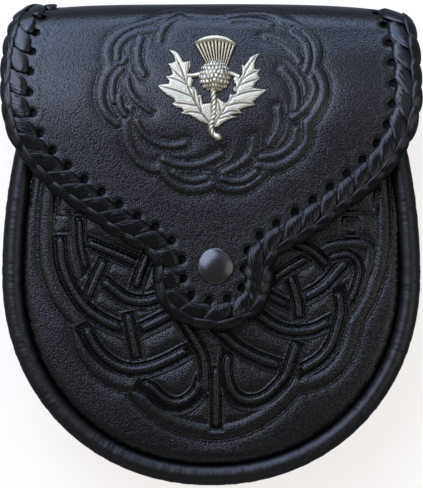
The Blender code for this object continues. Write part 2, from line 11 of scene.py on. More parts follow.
import bmesh
import bpy
import numpy as np
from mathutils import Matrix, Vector
from mathutils.geometry import delaunay_2d_cdt


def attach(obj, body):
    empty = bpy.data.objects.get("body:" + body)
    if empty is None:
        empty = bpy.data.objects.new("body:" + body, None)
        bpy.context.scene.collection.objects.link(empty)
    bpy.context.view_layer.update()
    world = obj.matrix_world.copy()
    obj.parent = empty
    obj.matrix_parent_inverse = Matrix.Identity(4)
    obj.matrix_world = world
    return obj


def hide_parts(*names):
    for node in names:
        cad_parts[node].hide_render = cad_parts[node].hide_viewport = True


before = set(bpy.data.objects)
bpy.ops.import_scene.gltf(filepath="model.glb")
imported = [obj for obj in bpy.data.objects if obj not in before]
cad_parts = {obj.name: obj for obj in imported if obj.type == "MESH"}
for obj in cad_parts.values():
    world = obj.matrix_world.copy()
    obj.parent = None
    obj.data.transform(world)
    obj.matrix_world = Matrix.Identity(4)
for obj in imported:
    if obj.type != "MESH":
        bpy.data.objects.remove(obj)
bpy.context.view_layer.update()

MM = 0.001
GAP = 0.3 * MM
TAU = 2.0 * math.pi

# ---------------------------------------------------------------- sizes, as in the frame

BODY_HALF_WIDTH = 89.0 * MM
WIDEST_Y = -12.7 * MM
BODY_DROP = 89.5 * MM
BOTTOM_SQUARENESS = 2.08
SIDE_CURVE = 500.0 * MM
MOUTH_Y = 84.0 * MM

BACK_THICK = 2.2 * MM
FRONT_THICK = 2.4 * MM
GUSSET_THICK = 1.8 * MM
FLAP_THICK = 2.4 * MM
LOOP_THICK = 2.0 * MM

LOOP_CLEARANCE = 4.6 * MM
BACK_RISE = LOOP_THICK + LOOP_CLEARANCE
DRAPE_LOW_Y = -52.0 * MM
DRAPE_HIGH_Y = -4.0 * MM
BACK_TOP_Y = 86.0 * MM
BACK_INSET = 1.5 * MM

LOOP_X = 44.0 * MM
LOOP_WIDTH = 24.0 * MM
LOOP_TOP_Y = 62.0 * MM
LOOP_BOTTOM_Y = 2.0 * MM
LOOP_TAB = 12.0 * MM
LOOP_SLOPE = 7.0 * MM

FRONT_EDGE_Z = 37.0 * MM
FRONT_DOME = 3.0 * MM
ROLL_RADIUS = 4.4 * MM
ROLL_PROUD = 1.5 * MM
FRONT_INSET = 2.0 * ROLL_RADIUS + GAP

FLAP_Z = 44.8 * MM
LEAN_Y = 46.8 * MM
LEAN_RADIUS = 120.0 * MM
LEAN_ANGLE = math.radians(22.0)
TURN_RADIUS = 16.7 * MM
TURN_START = LEAN_Y + LEAN_RADIUS * LEAN_ANGLE
TURN_END = TURN_START + TURN_RADIUS * (math.pi - LEAN_ANGLE)
FLAP_TAIL = 19.0 * MM
TONGUE_SHIFT = 0.8 * MM
TONGUE_SHIFT_Y = 40.0 * MM
SIDE_DROOP = 1.6 * MM
CORNER_DROOP = 3.2 * MM
DROOP_HALF_WIDTH = 86.0 * MM
CORNER_START = 82.0 * MM
CORNER_FULL = 110.0 * MM
CORNER_END = 120.0 * MM
FOLD_SWELL = 0.9 * MM             # the leather stands off where it turns over the mouth

# Half of the flap's cut outline in mm: half width, and the distance along the leather
FLAP_OUTLINE = (
    (58.0, 139.0), (59.5, 132.0), (67.5, 122.5), (75.5, 113.5), (81.0, 102.5), (83.8, 92.0),
    (85.6, 78.0), (86.1, 64.0), (84.0, 52.5), (80.4, 42.8), (73.4, 33.2), (63.0, 23.4),
    (49.0, 12.8), (38.6, 5.8), (28.0, -0.8), (22.6, -6.6), (21.7, -15.0), (20.0, -22.4),
    (14.6, -28.6), (6.5, -32.0), (0.0, -32.6),
)

LACE_HOLE_RADIUS = 1.9 * MM
LACE_HOLE_INSET = 9.0 * MM
LACE_PITCH = 9.1 * MM
TONGUE_PITCH = 8.0 * MM
LACE_END = TURN_START + 19.0 * MM

STUD_X = 1.8 * MM
STUD_Y = -8.8 * MM
CAP_RADIUS = 7.65 * MM
CAP_HEIGHT = 3.4 * MM
POST_RADIUS = 1.8 * MM
CLASP_RADIUS = 5.6 * MM

BADGE_X = 1.2 * MM
BADGE_ALONG = 66.0 * MM
POST_SPREAD = 9.0 * MM
BADGE_POST_RADIUS = 1.0 * MM

# The photograph: metres for each pixel, the pixel of the frame's origin, and its Y shift
PHOTO_SCALE = 0.4248 * MM
PHOTO_X_PX = 211.3
PHOTO_Y_PX = 244.0
PHOTO_SHIFT_Y = 0.5 * MM


# ---------------------------------------------------------------- curves and lines

def ease(value, low, high):
    share = np.clip((value - low) / (high - low), 0.0, 1.0)
    return share * share * (3.0 - 2.0 * share)


def smooth_line(points, step):
    """A smooth line through listed points, in steps of about the given length."""
    points = [np.array(point, float) for point in points]
    padded = [2.0 * points[0] - points[1], *points, 2.0 * points[-1] - points[-2]]
    line = []
    for first, start, end, last in zip(padded, padded[1:], padded[2:], padded[3:]):
        parts = max(1, int(np.linalg.norm(end - start) / step))
        for part in range(parts):
            t = part / parts
            line.append(0.5 * (
                2.0 * start + (end - first) * t
                + (2.0 * first - 5.0 * start + 4.0 * end - last) * t * t
                + (3.0 * start - first - 3.0 * end + last) * t ** 3
            ))
    line.append(points[-1])
    return np.array(line)


def lengths_along(line):
    steps = np.linalg.norm(np.diff(line, axis=0), axis=1)
    return np.concatenate([[0.0], np.cumsum(steps)])


def shares_along(line):
    distance = lengths_along(line)
    return distance / distance[-1]


def read_at(wanted, known, table):
    """A table's columns, read at wanted places between the known ones."""
    return np.stack([np.interp(wanted, known, column) for column in table.T], -1)


def even_line(line, count):
    """The same line with a number of points at even distances."""
    distance = lengths_along(line)
    return read_at(np.linspace(0.0, distance[-1], count), distance, line)


def normals_along(line):
    """Left-hand unit normals of an open line."""
    along = np.gradient(line, axis=0)
    along /= np.linalg.norm(along, axis=1, keepdims=True)
    return np.stack([-along[:, 1], along[:, 0]], 1)


def beside(x, y, line):
    """How far points lie beside a line (positive on its left), and past its start and end."""
    nearest = np.full(x.shape, 1e9)
    side, before, after = (np.zeros(x.shape) for _ in range(3))
    last = len(line) - 2
    for index, (start, end) in enumerate(zip(line, line[1:])):
        along = end - start
        length = math.hypot(*along)
        along = along / length
        run = (x - start[0]) * along[0] + (y - start[1]) * along[1]
        across = (y - start[1]) * along[0] - (x - start[0]) * along[1]
        past = np.maximum(np.maximum(-run, run - length), 0.0)
        distance = np.hypot(across, past)
        better = distance < nearest
        nearest = np.where(better, distance, nearest)
        early = np.maximum(-run, 0.0) if index == 0 else 0.0
        late = np.maximum(run - length, 0.0) if index == last else 0.0
        before = np.where(better, early, before)
        after = np.where(better, late, after)
        side = np.where(better, np.sign(across), side)
    beyond = np.maximum(before, after)
    return side * np.sqrt(np.maximum(nearest ** 2 - beyond ** 2, 0.0)), before, after


def inside(x, y, ring):
    """Which points lie inside a closed ring."""
    found = np.zeros(x.shape, bool)
    for (x0, y0), (x1, y1) in zip(ring, np.roll(ring, -1, axis=0)):
        if y0 == y1:
            continue
        crosses = (y0 > y) != (y1 > y)
        found ^= crosses & (x < x0 + (y - y0) * (x1 - x0) / (y1 - y0))
    return found


def distance_to_ring(x, y, ring):
    closed = np.concatenate([ring, ring[:1]])
    nearest = np.full(x.shape, 1e9)
    for start, end in zip(closed, closed[1:]):
        along = end - start
        share = ((x - start[0]) * along[0] + (y - start[1]) * along[1]) / (along @ along)
        share = np.clip(share, 0.0, 1.0)
        gap = np.hypot(x - start[0] - share * along[0], y - start[1] - share * along[1])
        nearest = np.minimum(nearest, gap)
    return nearest


def wander(x, y, size, seed):
    """A soft, repeatable unevenness from -1 to 1, from a few crossed waves."""
    total = 0.0
    for number in range(4):
        angle = seed * 1.7 + number * 2.4
        wave = TAU / (size * (1.0 + 0.35 * number))
        total = total + np.sin(
            (x * math.cos(angle) + y * math.sin(angle)) * wave + seed * 3.1 + number
        )
    return total / 4.0


# ---------------------------------------------------------------- the pouch's forms

def rim_line(side_points, bottom_points):
    """Points and outward normals round the silhouette, right mouth corner to left."""
    rise = np.linspace(MOUTH_Y - WIDEST_Y, 0.0, side_points, endpoint=False)
    side = np.stack([BODY_HALF_WIDTH - rise ** 2 / SIDE_CURVE, WIDEST_Y + rise], 1)
    slope = np.stack([np.ones(side_points), 2.0 * rise / SIDE_CURVE], 1)
    power = BOTTOM_SQUARENESS
    angle = np.linspace(0.0, math.pi / 2.0, bottom_points, endpoint=False)
    across, down = np.cos(angle) / BODY_HALF_WIDTH, np.sin(angle) / BODY_DROP
    radius = (across ** power + down ** power) ** (-1.0 / power)
    low = np.stack([radius * np.cos(angle), WIDEST_Y - radius * np.sin(angle)], 1)
    fall = np.stack([
        (radius * across) ** (power - 1.0) / BODY_HALF_WIDTH,
        -(radius * down) ** (power - 1.0) / BODY_DROP,
    ], 1)
    right = np.concatenate([side, low])
    outward = np.concatenate([slope, fall])
    outward /= np.linalg.norm(outward, axis=1, keepdims=True)
    flip = np.array([-1.0, 1.0])
    points = np.concatenate([right, [[0.0, WIDEST_Y - BODY_DROP]], right[::-1] * flip])
    return points, np.concatenate([outward, [[0.0, -1.0]], outward[::-1] * flip])


def inset_ring(inset, top_y, side_points, bottom_points, top_points):
    """The silhouette moved in by an inset and closed by a straight top edge."""
    points, outward = rim_line(side_points, bottom_points)
    points = points - outward * inset
    below = points[points[:, 1] < top_y - 1.0 * MM]
    rise = top_y - WIDEST_Y
    corner = BODY_HALF_WIDTH - rise * rise / SIDE_CURVE - inset
    top = np.stack([np.linspace(-corner, corner, top_points), np.full(top_points, top_y)], 1)
    return np.concatenate([top, below])


def half_width(y):
    above = BODY_HALF_WIDTH - (y - WIDEST_Y) ** 2 / SIDE_CURVE
    share = np.clip((WIDEST_Y - y) / BODY_DROP, 0.0, 1.0)
    power = BOTTOM_SQUARENESS
    below = BODY_HALF_WIDTH * (1.0 - share ** power) ** (1.0 / power)
    return np.where(y >= WIDEST_Y, above, below)


def back_outer_z(y):
    return BACK_RISE * ease(y, DRAPE_LOW_Y, DRAPE_HIGH_Y)


def back_inner_z(y):
    return back_outer_z(y) + BACK_THICK


def front_edge_z(y):
    reach = np.maximum(y - LEAN_Y, 0.0)
    radius = LEAN_RADIUS - (FLAP_Z - FRONT_EDGE_Z - FRONT_DOME)
    return FRONT_EDGE_Z - (radius - np.sqrt(radius * radius - reach * reach))


def front_outer_z(x, y):
    across = np.minimum(np.abs(x) / np.maximum(half_width(y) - ROLL_RADIUS, MM), 1.0)
    down = np.clip((WIDEST_Y - y) / (BODY_DROP - ROLL_RADIUS), 0.0, 1.0)
    return front_edge_z(y) + FRONT_DOME * (1.0 - across ** 2.5) * (1.0 - down ** 2.5)


def roll_centre_z(y):
    return front_edge_z(y) + ROLL_PROUD - ROLL_RADIUS


def fold(x, along, height):
    """Fold points of the flat flap; height is measured out of its outer face."""
    x, along, height = np.broadcast_arrays(x, along, height)
    droop = SIDE_DROOP + CORNER_DROOP * ease(along, CORNER_START, CORNER_FULL)
    droop = droop * (1.0 - ease(along, CORNER_END, TURN_END))
    height = height - droop * np.minimum(np.abs(x) / DROOP_HALF_WIDTH, 1.0) ** 4
    swell = ease(along, TURN_START - 6.0 * MM, TURN_START + 9.0 * MM)
    height = height + FOLD_SWELL * swell * (1.0 - ease(along, TURN_END - 9.0 * MM, TURN_END))
    lean_z = FLAP_Z - LEAN_RADIUS
    turn_y = LEAN_Y + (LEAN_RADIUS - TURN_RADIUS) * math.sin(LEAN_ANGLE)
    turn_z = lean_z + (LEAN_RADIUS - TURN_RADIUS) * math.cos(LEAN_ANGLE)
    lean = (along - LEAN_Y) / LEAN_RADIUS
    turn = LEAN_ANGLE + (along - TURN_START) / TURN_RADIUS
    places = [along <= LEAN_Y, along <= TURN_START, along <= TURN_END]
    y = np.select(places, [
        along,
        LEAN_Y + (LEAN_RADIUS + height) * np.sin(lean),
        turn_y + (TURN_RADIUS + height) * np.sin(turn),
    ], turn_y - (along - TURN_END))
    z = np.select(places, [
        FLAP_Z + height,
        lean_z + (LEAN_RADIUS + height) * np.cos(lean),
        turn_z + (TURN_RADIUS + height) * np.cos(turn),
    ], turn_z - TURN_RADIUS - height)
    return np.stack([x, y, z], -1)


def photo_place(point_px):
    """A place in the photograph as (x, y) in metres."""
    x_px, y_px = point_px
    return (x_px - PHOTO_X_PX) * PHOTO_SCALE, (PHOTO_Y_PX - y_px) * PHOTO_SCALE + PHOTO_SHIFT_Y


def flap_place(point_px, height=0.0):
    """The same on the flat flap, for a point that stands at a height on the folded one."""
    x, y = photo_place(point_px)
    if y <= LEAN_Y:
        return x, y
    lean = math.asin(min((y - LEAN_Y) / (LEAN_RADIUS + height), 1.0))
    if lean <= LEAN_ANGLE:
        return x, LEAN_Y + LEAN_RADIUS * lean
    turn_y = LEAN_Y + (LEAN_RADIUS - TURN_RADIUS) * math.sin(LEAN_ANGLE)
    turn = math.asin(min((y - turn_y) / (TURN_RADIUS + height), 1.0))
    return x, TURN_START + TURN_RADIUS * (turn - LEAN_ANGLE)


def tongue_shift(along):
    return TONGUE_SHIFT * (1.0 - ease(along, 0.0, TONGUE_SHIFT_Y))


def flap_edge(step):
    """The flap's cut edge on its flat pattern, from the right tail round to the left."""
    right = np.array(FLAP_OUTLINE) * MM
    line = smooth_line([*right, *(right[-2::-1] * np.array([-1.0, 1.0]))], step)
    line[:, 0] += tongue_shift(line[:, 1])
    return line


EDGE_LINE = flap_edge(0.6 * MM)
EDGE_DISTANCE = lengths_along(EDGE_LINE)
EDGE_OUTWARD = normals_along(EDGE_LINE)


def on_edge(distance, outward):
    """Pattern points at distances along the flap's edge, moved outward from it."""
    normal = read_at(distance, EDGE_DISTANCE, EDGE_OUTWARD)
    normal /= np.linalg.norm(normal, axis=-1, keepdims=True)
    point = read_at(distance, EDGE_DISTANCE, EDGE_LINE)
    return point + normal * np.asarray(outward)[..., None], normal


def lace_holes():
    """(distance along the edge, pattern point) of each lacing hole."""
    distance = np.arange(0.0, EDGE_DISTANCE[-1], 0.25 * MM)
    points, _ = on_edge(distance, np.full(distance.shape, -LACE_HOLE_INSET))
    walked, holes = 0.0, []
    for before, point, here in zip(points, points[1:], distance[1:]):
        if point[1] <= LACE_END:
            walked += math.dist(before, point)
        pitch = TONGUE_PITCH if point[1] < 0.0 else LACE_PITCH
        if walked >= pitch:
            walked -= pitch
            holes.append((float(here), point))
    return holes


LACE_HOLES = lace_holes()


# ---------------------------------------------------------------- the embossed ornament

# Knot ribbons on the front: how each end stops (open runs on under what crosses it), the
# ribbon's half width on its left and right, and the line of its bead. Half widths and
# points are in pixels.
Ribbon = namedtuple("Ribbon", "ends left right line")
KNOT_RIBBONS_PX = (
    Ribbon("co", 8.6, 9.4, (
        (60.2, 241.5), (61, 255), (63.5, 267.5), (69.3, 282.5), (77, 296), (86, 307.5),
        (96, 315.8), (106, 321.8), (117, 326.5))),
    Ribbon("co", 6.6, 6.6, ((80, 223), (80.6, 242.5), (83.8, 259), (85.2, 265))),
    Ribbon("oo", 8.6, 8.6, ((92, 244), (106.8, 250), (119.3, 255), (132.7, 260.8))),
    Ribbon("oo", 8.2, 8.2, ((102.7, 264.2), (97.7, 274.2), (92.7, 285.8), (89.3, 294.2))),
    Ribbon("oo", 8.6, 8.6, (
        (107, 284), (117, 292), (127, 299), (141, 302), (154, 300), (170, 293))),
    Ribbon("oo", 8.4, 10.0, ((145, 327.3), (158, 321), (172.4, 313.6))),
    Ribbon("oc", 8.0, 8.0, ((147.6, 256), (141.8, 270), (137, 284))),
    Ribbon("cc", 8.0, 8.0, ((128.7, 318), (132, 335), (136, 355))),
    Ribbon("oo", 8.2, 10.0, (
        (87.8, 333), (96, 347.3), (106, 358.2), (116.9, 365.5), (127.8, 369.1),
        (138.7, 369.5), (152.4, 366.4), (166, 360.9), (175, 356.4), (183.3, 351.8))),
    Ribbon("oo", 7.2, 12.0, (
        (147, 385), (153.3, 388.3), (161.5, 396.4), (170.5, 401.8), (179.6, 402.7),
        (188.7, 398.2), (196, 390.9), (198.7, 384.5))),
    Ribbon("oo", 8.0, 8.0, ((183, 319), (195, 340), (203, 356), (205, 370), (205, 388))),
    Ribbon("cc", 7.6, 7.6, ((216, 372), (216, 398), (216, 424))),
    Ribbon("co", 10.5, 7.6, (
        (295.5, 347), (291, 360), (286, 374), (278, 385), (267, 395), (256, 400), (245, 400),
        (236, 395), (230, 385), (227, 370), (228, 359))),
    Ribbon("oo", 8.6, 8.6, ((224, 334), (234, 344), (246, 352), (260, 359), (275, 364))),
    Ribbon("oo", 8.2, 8.2, (
        (259, 315), (275, 326), (290, 331), (305, 331), (315, 329), (326, 323.5))),
    Ribbon("oo", 9.4, 8.0, (
        (339.5, 297), (341, 311), (339, 321), (335, 335), (330, 347), (320, 359),
        (305, 368.5))),
    Ribbon("oc", 8.0, 8.0, ((291.5, 281), (297, 298.8), (299.3, 314.5))),
    Ribbon("oo", 9.0, 8.6, (
        (308.7, 295.5), (320.3, 288.8), (330.3, 279.7), (337, 271.5), (343.5, 265))),
    Ribbon("oo", 7.8, 8.2, ((276.5, 276.5), (291.2, 267.2), (303.5, 260))),
    Ribbon("oo", 8.0, 7.6, ((295, 242.5), (308.7, 248.8), (318.7, 256.3), (324.5, 262.5))),
    Ribbon("oo", 7.0, 7.0, ((262, 291), (274, 298), (283.5, 303))),
    Ribbon("oo", 6.4, 6.4, (
        (333, 257), (345, 254), (353, 256.5), (358.5, 264), (359, 275), (355.5, 288),
        (351, 299))),
)
# Rounded bands round the knot: half width, then the middle line, in pixels
KNOT_BANDS_PX = (
    (7.2, ((55, 165), (48.5, 196), (46, 228), (46.5, 255), (49.5, 273), (58, 296),
           (68, 310.5), (76.5, 320.5))),
    (7.2, ((77.3, 322), (79.8, 337), (84, 350), (90.5, 361.5), (100, 371.5), (110, 378.8),
           (122, 384), (133.5, 386.5))),
    (7.8, ((134.3, 390), (142, 399), (154, 410), (168, 419), (184, 426.5), (202, 431),
           (219, 432), (238, 428.5), (256, 421), (272, 410), (284.5, 398.5), (294.5, 387))),
    (7.2, ((296.5, 385.5), (312, 383), (325, 377.5), (337.5, 367), (346, 353.5),
           (351, 340), (354.5, 324.5))),
    (6.6, ((356.5, 321), (362, 311.5), (369, 299), (375, 284), (379.5, 270), (382.3, 256),
           (384, 238), (383.5, 205), (381, 165))),
    (5.2, ((326, 247.5), (338, 244.5), (350, 243.6), (362, 244), (369.5, 248),
           (370, 259), (366.5, 271), (361.5, 283), (355.5, 295))),
)
# Fine raised lines in the corners under the flap
KNOT_LINES_PX = (
    ((60, 186), (58.6, 200), (57.8, 213.3), (68, 213.8), (82, 214.3)),
    ((345, 212.4), (360, 212.6), (374.5, 213), (375.5, 204), (376, 190)),
    ((343.6, 218.6), (357.6, 219), (357.6, 236.4), (343.6, 236), (343.6, 218.6)),
    ((347.6, 223), (353.8, 223), (353.8, 231.4), (347.6, 231.4), (347.6, 223)),
)
# The wreath on the flap, round the badge: rounded bands, and strands with bare ends
WREATH_BANDS_PX = (
    (5.2, ((150, 20.5), (138, 25), (124, 31), (113, 39.5), (108.3, 49), (108.6, 59),
           (111.5, 68))),
    (5.2, ((124, 60), (112.5, 68.5), (104.5, 79), (101.6, 91), (102.4, 103), (108, 115),
           (118, 124))),
    (5.4, ((131, 110), (127.6, 120), (127, 132), (128.6, 143), (133, 153.5), (141, 163),
           (151, 168.8), (162, 170.5))),
    (5.8, ((161.5, 168), (168, 177.5), (178, 185.8), (190, 189.8), (203, 188.8),
           (215, 183.5))),
    (5.8, ((209, 177), (219, 186), (231, 190), (243, 188.4), (254, 182), (265, 172))),
    (5.2, ((258, 167.5), (270, 168.6), (282, 165.8), (294, 158.5), (303, 149),
           (307.8, 138), (307.6, 126))),
    (5.4, ((308, 124), (316, 113.5), (322.6, 101), (324.3, 88.5), (321, 76), (314.6, 66))),
    (5.4, ((315, 65), (317.8, 53), (315, 42), (307, 33), (296, 26), (285, 20.5))),
    (5.2, ((284, 22), (277, 15.5), (263, 12), (245, 12.3), (228, 14))),
    (5.2, ((222, 16), (206, 15.5), (190, 13), (174, 12.4), (160, 15.5), (149, 21))),
)
WREATH_STRANDS_PX = (
    ((141.4, 38), (138.8, 47), (138.2, 57), (140, 66), (144.5, 74.5)),
    ((127.6, 80), (130.4, 91), (138, 101.5), (150, 111)),
    ((160, 40), (162, 31.5), (169, 22.5), (180, 16)),
    ((137.5, 123), (143, 132.5), (151.5, 140.5), (163, 145.6), (176, 146.8), (186, 144)),
    ((164, 160.5), (176, 165), (189, 166.4), (202, 164.6), (214, 159.4), (222, 155)),
    ((223.5, 173.5), (236, 167), (247, 159), (252.3, 150), (253.6, 140.5)),
    ((278.4, 110), (279.6, 120), (276.8, 132), (269.5, 145)),
    ((296.6, 131.5), (294, 141.4), (287, 150), (276, 156), (262, 158.4)),
    ((265.6, 37), (276, 39.6), (287, 46), (296, 54.5), (300, 61)),
    ((282.6, 69.5), (290, 77.5), (295.4, 88), (297, 100), (295.6, 110)),
    ((293, 31), (301.5, 37.5), (307.4, 47), (308.8, 59), (306.3, 70)),
    ((311.5, 78), (314.8, 88), (312, 99.5), (304.5, 110), (293, 118.5)),
    ((231, 21), (245, 19.4), (259, 20.8), (271, 24.6)),
    ((119.6, 98), (121, 107), (125.6, 115)),
    ((118, 58), (118.6, 48), (124, 39.5), (134, 33.4), (146, 30.4), (156, 29.4)),
    ((121.4, 70), (114.6, 79), (112.6, 91), (114, 102)),
    ((174, 173), (184, 179.4), (195, 181), (206, 178.6)),
    ((222.5, 179), (233, 182.4), (245, 180.4), (256, 173)),
)

BEAD_SHARE = 0.48                 # the bead's half width as a share of its ribbon's
STRAND_HALF = 1.7 * MM
LIP_WIDTH = 0.4 * MM
LIP_RISE = 0.7 * MM
RUN_ON = 4.6 * MM                 # how far an open end's grooves run on past its bead
CLOSED_END = 2.9 * MM
BAND_GROOVE = 0.6 * MM
KNOT_DEPTH = 1.05 * MM
WREATH_DEPTH = 0.75 * MM
PILLOW_DEPTH = 0.8                # share of the depth that the eyes' edges are pressed
PILLOW_FADE = 2.0 * MM
LINE_SOFT = 0.5 * MM              # how softly a fine line rises, and sinks at its sides
LINE_RISE = 0.42
LINE_SINK = 0.3
LINE_SINK_AWAY = 1.1 * MM
NEAR_LINE = 8.0 * MM              # a band or strand shapes the leather no further away
NEAR_RIBBON = 10.0 * MM
RIBBON_GAP = 3.6 * MM
RELIEF_STEP = 0.2 * MM            # the grid on which the ornament is worked out
RELIEF_SOFT = (0.06, 0.24, 0.4, 0.24, 0.06)


def ribbon_height(side, before, after, ribbon):
    """Across a ribbon: a round bead, a groove each side and a thin lip at its edges."""
    half = np.where(side > 0.0, ribbon.left, ribbon.right) * PHOTO_SCALE
    bead_half = BEAD_SHARE * min(ribbon.left, ribbon.right) * PHOTO_SCALE
    reach = np.abs(side) / half
    past = np.maximum(before, after)
    bead = np.clip(1.0 - (np.hypot(side, past) / bead_half) ** 2, 0.0, 1.0) ** 0.6
    height = -1.0 + 1.1 * bead
    lip = ease(np.abs(side), half - LIP_WIDTH - LIP_RISE, half - LIP_WIDTH)
    for over, end in ((before, ribbon.ends[0]), (after, ribbon.ends[1])):
        if end == "c":
            lip = np.maximum(lip, ease(over, CLOSED_END - LIP_RISE, CLOSED_END))
            reach = np.maximum(reach, over / (CLOSED_END + LIP_WIDTH))
        else:
            reach = np.maximum(reach, over / RUN_ON)
    return height * (1.0 - lip) - 0.12 * lip, reach, past > bead_half


def band_height(side, past, half):
    """Across a rounded band: a low dome that sinks into a groove at each edge."""
    away = np.hypot(side, past)
    dome = 1.25 * np.sqrt(np.clip(1.0 - (away / half) ** 2, 0.0, 1.0)) - 1.0
    wall = ease(away, half + 0.2 * BAND_GROOVE, half + BAND_GROOVE)
    return dome * (1.0 - wall), away / (half + BAND_GROOVE)


def emboss(x, y, place, ribbons=(), bands=(), strands=(), lines=()):
    """The ornament's height, -1 in the grooves and 0 on bare leather, at pattern points."""
    order = np.full(x.shape, 1e9)
    height = np.zeros(x.shape)
    gap = np.full(x.shape, 1e9)

    def press(line, margin, shape):
        low, high = line.min(0) - margin, line.max(0) + margin
        near = (x > low[0]) & (x < high[0]) & (y > low[1]) & (y < high[1])
        side, before, after = beside(x[near], y[near], line)
        made, reach, rank, width = shape(side, before, after)
        made = np.where(rank == order[near], np.maximum(made, height[near]), made)
        use = (reach < 1.0) & (rank <= order[near])
        order[near] = np.where(use, rank, order[near])
        height[near] = np.where(use, made, height[near])
        gap[near] = np.minimum(gap[near], np.maximum(reach - 1.0, 0.0) * width)

    def placed(line_px):
        return smooth_line([place(point) for point in line_px], 0.8 * MM)

    for half_px, line_px in bands:
        half = half_px * PHOTO_SCALE

        def as_band(side, before, after, half=half):
            made, reach = band_height(side, np.maximum(before, after), half)
            return made, reach, np.full(reach.shape, 100.0), half + BAND_GROOVE

        press(placed(line_px), half + NEAR_LINE, as_band)
    for line_px in strands:

        def as_strand(side, before, after):
            past = np.maximum(before, after)
            made, reach = band_height(side, past, STRAND_HALF)
            return 0.9 * made, reach, reach + 50.0, STRAND_HALF + BAND_GROOVE

        press(placed(line_px), NEAR_LINE, as_strand)
    for ribbon in ribbons:

        def as_ribbon(side, before, after, ribbon=ribbon):
            made, reach, past = ribbon_height(side, before, after, ribbon)
            return made, reach, reach + 50.0 * past, RIBBON_GAP

        press(placed(ribbon.line), NEAR_RIBBON, as_ribbon)
    free = order > 1e8
    height = np.where(free, -PILLOW_DEPTH * np.exp(-gap / PILLOW_FADE), height)
    for line_px in lines:
        line = np.array([place(point) for point in line_px])
        side, before, after = beside(x, y, line)
        away = np.hypot(side, np.maximum(before, after))
        height += LINE_RISE * np.exp(-(away / LINE_SOFT) ** 2)
        height -= LINE_SINK * np.exp(-((away - LINE_SINK_AWAY) / LINE_SOFT) ** 2)
    return height


class Relief:
    """An ornament's height on an even grid, with the softness of pressed leather."""

    def __init__(self, place, low, high, **ornament):
        self.low = np.array(low)
        counts = np.ceil((np.array(high) - self.low) / RELIEF_STEP).astype(int) + 1
        x, y = (self.low[axis] + RELIEF_STEP * np.arange(counts[axis]) for axis in (0, 1))
        x, y = np.meshgrid(x, y, indexing="ij")
        grid = emboss(x.ravel(), y.ravel(), place, **ornament).reshape(x.shape)
        for axis in (0, 1):
            grid = sum(share * np.roll(grid, number - 2, axis)
                       for number, share in enumerate(RELIEF_SOFT))
        self.grid = grid

    def at(self, x, y):
        """The height at points, blended from the four grid places round each."""
        spots = [(value - start) / RELIEF_STEP for value, start in zip((x, y), self.low)]
        last = [count - 1.001 for count in self.grid.shape]
        known = np.ones(np.shape(x), bool)
        for spot, end in zip(spots, last):
            known &= (spot > 0.0) & (spot < end)
        column, row = (np.clip(spot, 0.0, end) for spot, end in zip(spots, last))
        i, j = column.astype(int), row.astype(int)
        column, row = column - i, row - j
        lower = self.grid[i, j] * (1.0 - column) + self.grid[i + 1, j] * column
        upper = self.grid[i, j + 1] * (1.0 - column) + self.grid[i + 1, j + 1] * column
        return np.where(known, lower * (1.0 - row) + upper * row, 0.0)


# ---------------------------------------------------------------- modelling by hand

def deselect():
    if bpy.context.object and bpy.context.object.mode != "OBJECT":
        bpy.ops.object.mode_set(mode="OBJECT")
    bpy.ops.object.select_all(action="DESELECT")


def pick(obj):
    deselect()
    obj.select_set(True)
    bpy.context.view_layer.objects.active = obj
    return obj


def started(name):
    """The primitive just added, under its own name."""
    obj = bpy.context.object
    obj.name = obj.data.name = name
    return obj


def coords(obj):
    flat = np.empty(len(obj.data.vertices) * 3, np.float32)
    obj.data.vertices.foreach_get("co", flat)
    return flat.reshape(-1, 3).astype(float)


def set_coords(obj, points):
    obj.data.vertices.foreach_set("co", np.asarray(points, np.float32).ravel())
    obj.data.update()


def place_in_mesh(obj):
    pick(obj)
    bpy.ops.object.transform_apply(location=True, rotation=True, scale=True)


def modify(obj, kind, **settings):
    """Add a modifier with these settings and apply it."""
    pick(obj)
    modifier = obj.modifiers.new(kind.lower(), kind)
    for name, value in settings.items():
        setattr(modifier, name, value)
    bpy.ops.object.modifier_apply(modifier=modifier.name)


def edit_all(obj):
    pick(obj)
    bpy.ops.object.mode_set(mode="EDIT")
    bpy.ops.mesh.select_all(action="SELECT")


def done(obj):
    bpy.ops.object.mode_set(mode="OBJECT")
    return obj


def face_out(obj):
    bpy.ops.mesh.normals_make_consistent(inside=False)
    return done(obj)


def ease_edges(obj, width, sharp):
    """Round the edges that are sharper than an angle in degrees."""
    modify(obj, "BEVEL", width=width, segments=2, limit_method="ANGLE",
           angle_limit=math.radians(sharp))


def cut_at(axis, places):
    """Cut the mesh in edit mode across an axis at several places."""
    facing = np.eye(3)[axis]
    for place in places:
        bpy.ops.mesh.select_all(action="SELECT")
        bpy.ops.mesh.bisect(plane_co=place * facing, plane_no=facing)


def open_edges(obj, merge):
    """Merge a laid face's doubles, and leave its open edges selected in edit mode."""
    edit_all(obj)
    bpy.ops.mesh.remove_doubles(threshold=merge)
    bpy.ops.mesh.select_all(action="DESELECT")
    bpy.ops.mesh.select_non_manifold()


def laid_grid(name, columns, rows, place):
    """A grid whose faces are laid over a form; place takes u and v from 0 to 1."""
    deselect()
    bpy.ops.mesh.primitive_grid_add(
        x_subdivisions=columns, y_subdivisions=rows, size=1.0, calc_uvs=True
    )
    obj = started(name)
    flat = coords(obj)
    set_coords(obj, place(flat[:, 0] + 0.5, flat[:, 1] + 0.5))
    return obj


def cap_ends(obj):
    open_edges(obj, 1e-6)
    bpy.ops.mesh.edge_face_add()
    bpy.ops.mesh.select_all(action="SELECT")
    bpy.ops.mesh.fill_holes(sides=0)
    return face_out(obj)


def joined(name, pieces):
    deselect()
    for piece in pieces:
        piece.select_set(True)
    bpy.context.view_layer.objects.active = pieces[0]
    bpy.ops.object.join()
    return started(name)


